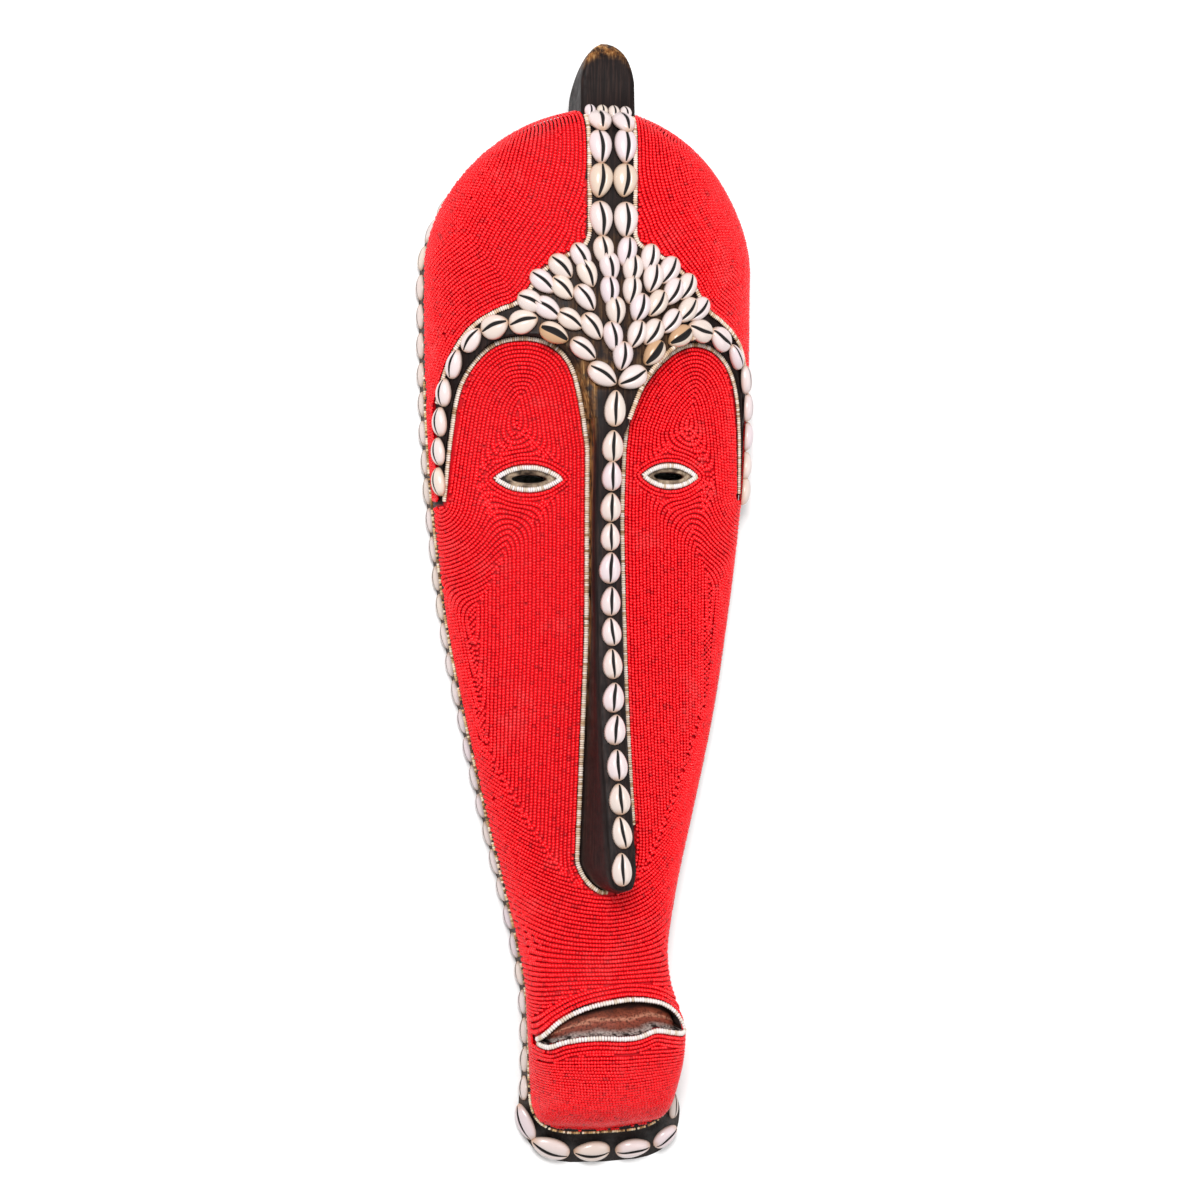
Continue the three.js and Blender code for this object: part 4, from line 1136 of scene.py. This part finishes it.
# The face has most of the beads, so its covering is made in three pieces from the brows down. A
# bead is given by its length, width and height and by how deep its middle is sunk.
RED_BEAD = (BEAD_PITCH * 0.98, BEAD_ROW, 2.3, 1.2)
FACE_PARTS = [
    ("face_beads_upper", 20, 400), ("face_beads_middle", -140, 20), ("face_beads_lower", -400, -140),
]
for name, low, high in FACE_PARTS:
    part = []
    for centres, directions, up, stretch in face_strings:
        keep = (centres[:, 1] > low) & (centres[:, 1] <= high)
        if keep.any():
            part.append((centres[keep], directions[keep], up[keep], stretch[keep]))
    beads = bead_object(name, part, *RED_BEAD)
    give(beads, red_glass, "red_glass_beads", "face_beadwork")
for side, strings in forehead_strings.items():
    beads = bead_object(f"forehead_beads_{side}", strings, *RED_BEAD)
    give(beads, red_glass, "red_glass_beads", f"forehead_beadwork_{side}")


# Cream strings of glass beads edge the beadwork: along the stem and the fan, round each brow
# and the nose, round the eyes and round the mouth, where they are larger.
cream_glass = glass_bead_material("cream_seed_bead_glass", [
    (0.0, "#94704A"), (0.12, "#CCAE90"), (0.5, "#E0CCB8"), (0.88, "#E8D9CE"), (1.0, "#B4926C"),
], 0.32, "#B49468")
white_glass = glass_bead_material("white_seed_bead_glass", [
    (0.0, "#C4AE94"), (0.12, "#DDD2C6"), (0.5, "#E6DDD8"), (0.88, "#EBE2E2"), (1.0, "#CDBBA4"),
], 0.32, "#D8C4AC")


def moved_right(line, distance):
    """A line moved to the right-hand side of its direction."""
    along = np.gradient(line, axis=0)
    along /= np.maximum(np.linalg.norm(along, axis=1, keepdims=True), 1e-9)
    return line + distance * np.stack([along[:, 1], -along[:, 0]], -1)


def edging(net, line, pitch):
    """One string of beads along a line of X and Y."""
    places = find_on_net(net, line)
    centres, directions, up, where = string_along(net, places, pitch)
    return centres, directions, up, np.ones(len(centres))


STRING_MIDDLE = STRING_GAP + STRING_WIDTH / 2
STRING_PITCH = 1.5
EYE_STRING_WIDTH = 3.9
MOUTH_STRING_PITCH = 1.9

# Length, width, height, depth of the middle and unevenness of the beads of each string.
EDGING_BEAD = (STRING_PITCH * 0.92, STRING_WIDTH, 2.4, 0.7, 0.6)
EYE_BEAD = (STRING_PITCH * 0.92, EYE_STRING_WIDTH, 2.6, 0.6, 0.6)
MOUTH_BEAD = (1.78, MOUTH_STRING_WIDTH, 2.9, 0.3, 0.7)
for side, sign, line in FOREHEAD_SIDES:
    edge = curved(line, 300)
    edge = edge[edge[:, 1] < 320]
    string = edging(dome_net, moved_right(edge, sign * STRING_WIDTH / 2), STRING_PITCH)
    beads = bead_object(f"forehead_edging_beads_{side}", [string], *EDGING_BEAD)
    give(beads, cream_glass, "cream_glass_beads", f"forehead_edging_{side}")
string = edging(face_net, moved_right(panel_line, STRING_MIDDLE), STRING_PITCH)
right_of_tip = (string[0][:, 1] < -150) & (string[0][:, 0] > 3)
string = tuple(part[~right_of_tip] for part in string)
upper_edge = brow_right[::-1]
upper_edge = upper_edge[upper_edge[:, 0] < 64]
upper_string = edging(dome_net, moved_right(upper_edge, -STRING_WIDTH / 2), STRING_PITCH)
beads = bead_object("brow_and_nose_edging_beads", [string, upper_string], *EDGING_BEAD)
give(beads, cream_glass, "cream_glass_beads", "brow_and_nose_edging")
for side, eye in EYES.items():
    eye_edge = eye_line(eye, -EYE_STRING_WIDTH / 2)
    string = edging(face_net, np.array([*eye_edge, eye_edge[0]]), STRING_PITCH)
    beads = bead_object(f"eye_edging_beads_{side}", [string], *EYE_BEAD)
    give(beads, white_glass, "cream_glass_beads", f"eye_edging_{side}")
string = edging(face_net, moved_right(mouth_closed, -MOUTH_STRING_WIDTH / 2), MOUTH_STRING_PITCH)
beads = bead_object("mouth_edging_beads", [string], *MOUTH_BEAD)
give(beads, white_glass, "cream_glass_beads", "mouth_edging")

# A thinner string, stained by glue, closes the red beadwork at the rim from the brows down.
tan_glass = glass_bead_material("tan_seed_bead_glass", [
    (0.0, "#4A3018"), (0.25, "#8A6434"), (0.5, "#C9A873"), (0.8, "#DCCBAA"), (1.0, "#E6DAC4"),
], 0.35, "#7A5A30")
RIM_BEAD = (STRING_PITCH, 2.4, 2.0, 0.5, 0.8)
MISSING_RIM_BEAD_SHARE = 0.12
rim_y = rows_between(CHIN_Y, RIM_STRING_END, 400, 1.0)
rim_z = smooth(EDGE_HEIGHTS, rim_y) + 1.2
rim_left, rim_right = (outline(side, rim_y, 0 * rim_y + 0.2, rim_z) for side in (-1, 1))
rim_line = np.concatenate([rim_left[::-1], rim_right[1:]])
centres = even(rim_line, int(lengths_along(rim_line)[-1] / STRING_PITCH))
centres = centres[random.random(len(centres)) > MISSING_RIM_BEAD_SHARE]
ahead = np.gradient(centres, axis=0)
ahead /= np.linalg.norm(ahead, axis=1, keepdims=True)
out = np.cross(ahead, (0, 0, 1)) * 0.8 + (0, 0, 0.6)
beads = bead_object("rim_edging_beads", [(centres, ahead, out, np.ones(len(centres)))], *RIM_BEAD)
give(beads, tan_glass, "cream_glass_beads", "face_beadwork")


# Cowrie shells, glued on with the slit outward. A glossy cream dome, narrower at one end, with a
# toothed dark slit that bows to one side and is widest at the narrow end.
SHELL_COLUMNS = 26
SHELL_RINGS = 30


def cowrie_shape():
    """Shell of length 2, width 2 and height 1, its narrow end at +Y: its points, faces and marks."""
    bpy.ops.object.select_all(action="DESELECT")
    bpy.ops.mesh.primitive_uv_sphere_add(segments=SHELL_COLUMNS, ring_count=SHELL_RINGS, radius=1)
    shell = bpy.context.object
    bpy.ops.object.mode_set(mode="EDIT")
    bpy.ops.mesh.select_all(action="SELECT")
    for axis in "XY":
        bpy.ops.transform.rotate(
            value=math.pi / 2, orient_axis=axis, orient_type="GLOBAL", center_override=(0, 0, 0)
        )
    bpy.ops.mesh.bisect(plane_co=(0, 0, -0.02), plane_no=(0, 0, 1), use_fill=True, clear_inner=True)
    bpy.ops.object.mode_set(mode="OBJECT")
    points = np.array([v.co[:] for v in shell.data.vertices])
    faces = [tuple(p.vertices) for p in shell.data.polygons]
    bpy.data.objects.remove(shell)
    x, y, z = points.T
    ring = np.sqrt(np.clip(1 - y * y, 1e-6, None))
    share = np.clip(np.abs(x) / ring, 0, 1)
    column = np.round(np.arcsin(share) / (2 * math.pi / SHELL_COLUMNS), 2)
    row = np.round((np.arcsin(np.clip(y, -1, 1)) / math.pi + 0.5) * SHELL_RINGS)
    # The lines beside the middle become the edges of the slit, the next ones its lips.
    open_share = np.clip((0.96 - np.abs(y)) / 0.14, 0, 1)
    slit = 0.085 + 0.05 * (1 + y)
    first, second = np.sin(2 * math.pi / SHELL_COLUMNS * np.array([1, 2]))
    beyond = slit + 0.1 + (0.9 - slit) * (share - second) / (1 - second)
    lip = slit + 0.1 * (share - first) / (second - first)
    share = np.where(share > second, beyond, np.where(share > first, lip, share / first * slit))
    toothed = (np.abs(column - 1) < 0.1) & ((x < 0) | (y > 0.3))
    share = share + toothed * open_share * np.where(row % 2 > 0, 0.05, -0.015)
    dome_height = ring * np.sqrt(np.clip(1 - share * share, 0, 1))
    groove = np.interp(column, [0, 1, 2, 3], [0.5, 0.1, -0.02, 0]) * open_share
    bow = 0.02 - 0.13 * np.cos(1.9 * (y - 0.1))
    egg = 1 - 0.15 * y - 0.09 * np.clip(y, 0, 1) ** 2 - 0.03 * y * y
    new_x = (np.sign(x) * share + bow * (1 - share * share)) * ring * egg
    new_z = np.where(z > 0, dome_height**0.8 - groove, 0)
    lane = np.where((z > 0) & (np.abs(y) < 0.94), column, 9)
    foot = 1 - np.clip(new_z / 0.5, 0, 1) * (z > 0)
    marks = (("lane", lane), ("along", y), ("foot", foot), ("lobe", 1.0 * (x > 0)))
    return np.stack([new_x, y, new_z], -1), faces, marks


cowrie_points, cowrie_faces, cowrie_marks = cowrie_shape()
SHELL_LIFT = 1.3


def surface_place(surface, x, y, turn, rise=0.0, lift=SHELL_LIFT):
    """Place and axes of a shell on a surface, turned from +Y towards +X, its far end raised by an angle."""
    across = (x - smooth(CENTRE_LINE, y)) / half_width(np.float64(y))
    angle = math.asin(max(-0.995, min(0.995, float(across))))
    normal = normals(surface, angle, y)
    point = surface(angle, y) + normal * (lift - WOOD_DEPTH)
    return shell_frame(point, normal, (math.sin(turn), math.cos(turn), 0), rise)


def shell_frame(point, normal, along, rise=0.0):
    """Place of a shell and its axes: to its side, to its far end and out of the surface."""
    normal = normal / np.linalg.norm(normal)
    side = np.cross(along, normal)
    side /= np.linalg.norm(side)
    forward = np.cross(normal, side)
    raised = forward * math.cos(rise) + normal * math.sin(rise)
    return point, np.stack([side, raised, np.cross(side, raised)])


def shell_object(name, frames, size, tones=None):
    """Cowries as one object. Each differs a little in size, turn and tone."""
    count = len(frames)
    places = np.array([point for point, _ in frames])
    axes = []
    for _, each in frames:
        swing = random.normal(0, 0.06)
        side = each[0] * math.cos(swing) + each[1] * math.sin(swing)
        ahead = each[1] * math.cos(swing) - each[0] * math.sin(swing)
        axes.append([side, ahead, each[2]])
    length, width, height = np.broadcast_to(size, (count, 3)).T
    sizes = np.stack([
        width / 2 * random.uniform(0.94, 1.05, count),
        length / 2 * random.uniform(0.95, 1.04, count),
        height * random.uniform(0.92, 1.08, count),
    ], 1)
    if tones is None:
        tones = random.uniform(0.1, 1, count)
    return copies(name, cowrie_points, cowrie_faces, places, np.array(axes), sizes, tones, cowrie_marks)


# Polished shell: white with a breath of pink on top, warmer at the foot and the ends. The few old
# ones are tan, and their slits stand wide open.
cowrie, cowrie_shader = new_material("polished_cowrie_shell", "#F0E4DE", 0.25, IOR=1.53)
shell_tone = attribute(cowrie, "tone")
along_shell = attribute(cowrie, "along")
worn_open = rescaled(cowrie, shell_tone, 0.05, 0.08, 1.0, 0.0)
lane_gap = add_node(
    cowrie, "ShaderNodeMath", {"operation": "SUBTRACT"}, links={0: attribute(cowrie, "lane"), 1: worn_open}
)
slit_dark = rescaled(cowrie, lane_gap.outputs[0], 1.15, 1.5, 1.0, 0.0)
end_warm = rescaled(cowrie, reckon(cowrie, "MULTIPLY", along_shell, along_shell), 0.4, 1.0, 0.0, 0.75)
foot_warm = reckon(cowrie, "MULTIPLY", attribute(cowrie, "foot"), 0.5)
shell_body = ramp(cowrie, shell_tone, [
    (0.0, "#DACBC2"), (0.08, "#CDB498"), (0.12, "#D6C6BC"), (0.5, "#DCCDCA"), (0.85, "#D8C8CC"),
    (1.0, "#DBCBBC"),
])
old_lobe = reckon(cowrie, "MULTIPLY", worn_open, attribute(cowrie, "lobe"))
shell_colour = mix_colours(cowrie, reckon(cowrie, "MAXIMUM", end_warm, foot_warm), shell_body, "#BC8F66")
shell_colour = mix_colours(cowrie, reckon(cowrie, "MULTIPLY", old_lobe, 0.8), shell_colour, "#B88A5C")
shell_colour = mix_colours(cowrie, slit_dark, shell_colour, "#0E0807")
link(cowrie, shell_colour, cowrie_shader.inputs["Base Color"])
link(cowrie, rescaled(cowrie, slit_dark, 0.0, 1.0, 0.25, 0.9), cowrie_shader.inputs["Roughness"])


def nodes_named(start):
    """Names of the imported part's nodes that begin alike."""
    return [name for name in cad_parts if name.startswith(start)]


# Fifteen shells in one row down the ridge of the nose. Each fills nearly all its gap in the row.
NOSE_SHELL_YS = [125.5, 101, 81.5, 61, 41.5, 21, -1, -21, -42, -64, -85, -108, -130, -151.5, -175]
NOSE_SHELL_SHIFTS = [1.4, *[0.5] * 13, -1.3]
NOSE_SHELL_WIDTHS = [14.4] * 2 + [13.8] * 13
NOSE_SHELL_HEIGHT = 6.6
NOSE_SHELL_SHARE = 0.96
NOSE_SHELL_LIFT = SHELL_LIFT - 0.6
frames = []
for y, shift in zip(NOSE_SHELL_YS, NOSE_SHELL_SHIFTS):
    slope = (smooth(RIDGE_HEIGHTS, y + 4) - smooth(RIDGE_HEIGHTS, y - 4)) / 8
    normal = np.array([0, -slope, 1.0])
    normal /= np.linalg.norm(normal)
    on_brow = dome(0, y)[2] - WOOD_DEPTH if y == NOSE_SHELL_YS[0] else 0
    height = max(smooth(RIDGE_HEIGHTS, y), on_brow)
    point = np.array([smooth(RIDGE_LINE, y) + shift, y, height]) + normal * NOSE_SHELL_LIFT
    frames.append(shell_frame(point, normal, (0, 1, 0)))
gaps = -np.gradient(NOSE_SHELL_YS)
sizes = [(NOSE_SHELL_SHARE * gap, width, NOSE_SHELL_HEIGHT) for gap, width in zip(gaps, NOSE_SHELL_WIDTHS)]
shells = shell_object("nose_cowries", frames, sizes)
give(shells, cowrie, "cowrie_shell", *[f"nose_shell_{k + 1}" for k in range(15)])

# Two columns of three on the stem of the forehead, above them two that lean up to the crest, and
# four small ones along the foot of the crest.
STEM_SHELL = (23.3, 16.3, 6.6)
STEM_SHELLS = [(-6.9, 297.8), (10.4, 299), (-7.3, 275.3), (9.6, 276), (-7, 250), (10, 250)]
frames = [surface_place(dome, x, y, math.pi) for x, y in STEM_SHELLS]
shells = shell_object("stem_cowries", frames, STEM_SHELL)
stem_nodes = [f"stem_shell_{side}_{k + 1}" for side in ("left", "right") for k in range(4)]
give(shells, cowrie, "cowrie_shell", *stem_nodes)
CROWN_SHELL = (20, 16, 6.4)
CROWN_SHELLS = [(-6, 315.2), (10.4, 314.8)]
CREST_SHELL = (11, 8, 4.2)
CREST_SHELL_XS = (-11.3, -3.1, 5.1, 13.3)
CREST_SHELL_NORMAL = np.array([0, 0.4, 0.92])
frames = [surface_place(dome, x, y, math.pi, 0.4) for x, y in CROWN_SHELLS]
for x in CREST_SHELL_XS:
    frames.append(shell_frame(np.array([x, 321.8, 71.5]), CREST_SHELL_NORMAL, (0.01 * x, -1, 0.43)))
shells = shell_object("crown_cowries", frames, [CROWN_SHELL] * 2 + [CREST_SHELL] * 4)
give(shells, cowrie, "cowrie_shell", "stem_shell_left_4", "stem_shell_right_4")

# The fan above the nose. Its shells point away from its foot, the left ones lean a little more,
# and the last three are old. Their places are read from the photograph, then moved a little right
# and down after a comparison with the render.
FAN_SHELL = (20, 13.7, 6)
FOOT_SHELL = (22, 14.4, 6.4)
FAN_SHELLS = [
    (-6.7, 232), (9.1, 231.5), (-21.6, 227.3), (-34.9, 220.4), (-46.7, 210.2), (-54.6, 196.9),
    (25.2, 228), (38.8, 220.5), (51.3, 210), (60.5, 195.1), (-2.6, 221.4), (-17.6, 216.6), (-34.1, 206.3),
    (-44.1, 192.3), (13.2, 220.3), (27.3, 214.8), (41.5, 206.1), (51.7, 193.9), (-19.3, 199.9),
    (-2.9, 205.1), (12.3, 206.2), (29.7, 197.5), (39.7, 185.9), (-29.5, 185.1), (1, 191.8), (17.6, 194.4),
    (-14.9, 180.8), (-1, 174.5), (15.2, 176.3), (26.5, 178), (5.3, 161.4), (-8.5, 148.5), (12.1, 146.9),
    (-21.1, 165.4), (-40.1, 175.8), (27, 164), (46.2, 176.1),
]
FAN_OLD_SHELLS = 3
FAN_APEX = (1, 140)
FAN_RIGHT = 1.3
FAN_DOWN = [(145, 0.9), (175, 1.7), (225, 2.6)]
FAN_RISE = -0.09
FAN_LIFT = 2.0
frames = []
for x, y in FAN_SHELLS:
    turn = math.atan2(x - FAN_APEX[0], y - FAN_APEX[1])
    x, y = x + FAN_RIGHT, y - np.interp(y, *zip(*FAN_DOWN))
    lean = 0.3 if x < -18 else (0.18 if x < -7 else 0)
    frames.append(surface_place(dome, x, y, turn + math.pi - lean, FAN_RISE, FAN_LIFT))
tones = random.uniform(0.1, 1, len(frames))
tones[-FAN_OLD_SHELLS:] = 0.03
sizes = [FOOT_SHELL if 140 < y < 150 else FAN_SHELL for x, y in FAN_SHELLS]
shells = shell_object("fan_cowries", frames, sizes, tones)
give(shells, cowrie, "cowrie_shell", *nodes_named("fan_shells"))

# A row of eight along each brow, from the fan out to the rim and down. The first two are wider.
BROW_SHELL = (19.4, 11.6, 5.8)
WIDE_BROW_SHELL = (19.4, 15.6, 5.8)
BROW_LEFT = [
    (-58.2, 181.8), (-75.9, 178.7), (-89.6, 170.3), (-99.4, 155), (-104.7, 136.7), (-106.5, 117.7),
    (-107, 98.2), (-106.2, 78.3),
]
BROW_RIGHT = [
    (63.6, 179.2), (79.9, 174.9), (93.1, 163.8), (103.4, 149.8), (107.1, 131.2), (108.6, 111.8),
    (108.3, 91.8), (107.6, 74.8),
]
for side, line in (("left", BROW_LEFT), ("right", BROW_RIGHT)):
    frames = []
    for before, (x, y), after in zip([line[0], *line], line, [*line[1:], line[-1]]):
        frames.append(surface_place(dome, x, y, math.atan2(before[0] - after[0], before[1] - after[1])))
    sizes = [WIDE_BROW_SHELL] * 2 + [BROW_SHELL] * (len(line) - 2)
    shells = shell_object(f"brow_cowries_{side}", frames, sizes)
    give(shells, cowrie, "cowrie_shell", *nodes_named(f"brow_shells_{side}"))

# A row all round the side band, end to end, with five larger ones under the chin.
RIM_SHELL = (17.5, 11.5, 3.8)
RIM_SHELL_PITCH = 19.6
RIM_SHELL_LEVEL = 7.8
RIM_SHELL_LIFT = -0.1
CHIN_SHELLS = [(26, 15, 5.8), (28.5, 18, 6.4), (26.5, 17, 6.4), (24.5, 16, 6), (21, 14.5, 5.6)]
CHIN_SHELL_OFFSETS = [-61, -36.5, -7.5, 21.5, 44.5]
CHIN_SHELL_LIFTS = [1.4, 1.4, 1.4, 1.4, 3.4]
CHIN_SHELL_LEVEL = 8


def band_line(side, level):
    """Line round one side of the band at a level, from the chin to the crown."""
    y = rows_between(CHIN_Y, TOP_Y, 400, 1.0)
    return outline(side, y, band_outward(y, level) - WOOD_DEPTH, level)


def band_shell(side, level, distance, lift):
    """Place and axes of a shell on the band, at a distance from the middle of the chin."""
    line = band_line(side, level)
    lengths = lengths_along(line)

    def at(where, table):
        return read_along(table, lengths, where)

    along = at(distance + 2, line) - at(distance - 2, line)
    upward = at(distance, band_line(side, level + 2)) - at(distance, band_line(side, level - 2))
    normal = np.cross(along, upward) * side
    normal /= np.linalg.norm(normal)
    return shell_frame(at(distance, line) + normal * lift, normal, along)


for side, sign, last in (("left", -1, 0), ("right", 1, -1)):
    chin = abs(CHIN_SHELL_OFFSETS[last]) + CHIN_SHELLS[last][0] / 2
    room = lengths_along(band_line(sign, RIM_SHELL_LEVEL))[-1] - chin - (CREST_WIDTH / 2 + 2)
    places = chin + (np.arange(int(room / RIM_SHELL_PITCH)) + 0.5) * RIM_SHELL_PITCH
    frames = [band_shell(sign, RIM_SHELL_LEVEL, place, RIM_SHELL_LIFT) for place in places]
    shells = shell_object(f"rim_cowries_{side}", frames, RIM_SHELL)
    give(shells, cowrie, "cowrie_shell", *nodes_named(f"rim_shells_{side}"))
frames = [
    band_shell(-1 if offset < 0 else 1, CHIN_SHELL_LEVEL, abs(offset), lift)
    for offset, lift in zip(CHIN_SHELL_OFFSETS, CHIN_SHELL_LIFTS)
]
shells = shell_object("chin_cowries", frames, CHIN_SHELLS)
give(shells, cowrie, "cowrie_shell", *[f"chin_shell_{k + 1}" for k in range(len(frames))])


# Plain pale floor, soft studio light and the camera, which looks down on the lying mask.
bpy.ops.object.select_all(action="DESELECT")
bpy.ops.mesh.primitive_plane_add(size=12, location=(0, 0, -0.0002))
floor = bpy.context.object
floor.name = "floor"
paper, _ = new_material("matt_white_paper", "#FCFCFC", 0.9)
floor.data.materials.append(paper)

world = bpy.data.worlds.new("studio")
world.use_nodes = True
world.node_tree.nodes["Background"].inputs["Color"].default_value = (1, 1, 1, 1)
world.node_tree.nodes["Background"].inputs["Strength"].default_value = 0.5
bpy.context.scene.world = world


def soft_light(name, place, size, power):
    """Large soft lamp aimed at the mask."""
    data = bpy.data.lights.new(name, "AREA")
    data.shape = "RECTANGLE"
    data.size, data.size_y = size
    data.energy = power
    lamp = bpy.data.objects.new(name, data)
    lamp.location = place
    lamp.rotation_euler = (Vector((0, 0, 0.05)) - lamp.location).to_track_quat("-Z", "Y").to_euler()
    bpy.context.collection.objects.link(lamp)


soft_light("key", (-0.55, 0.75, 2.1), (0.7, 0.7), 46)
soft_light("fill", (1.5, -0.4, 1.8), (1.6, 1.6), 12)
bpy.context.scene.view_settings.view_transform = "Standard"

CAMERA_YAW = math.radians(15)
CAMERA_DISTANCE = 1.8
CAMERA_LENS = 80.3
target = Vector((4.07 * MM, 0, 40 * MM)) + Vector(SHIFT)
data = bpy.data.cameras.new("camera")
data.lens = CAMERA_LENS
data.sensor_width = 36
data.clip_end = 30
camera = bpy.data.objects.new("camera", data)
backward = Vector((-math.sin(CAMERA_YAW), 0, math.cos(CAMERA_YAW)))
upward = Vector((0, 1, 0))
rightward = upward.cross(backward)
turn = Matrix((rightward, upward, backward)).transposed().to_4x4()
camera.matrix_world = Matrix.Translation(target + backward * CAMERA_DISTANCE) @ turn
bpy.context.collection.objects.link(camera)
bpy.context.scene.camera = camera
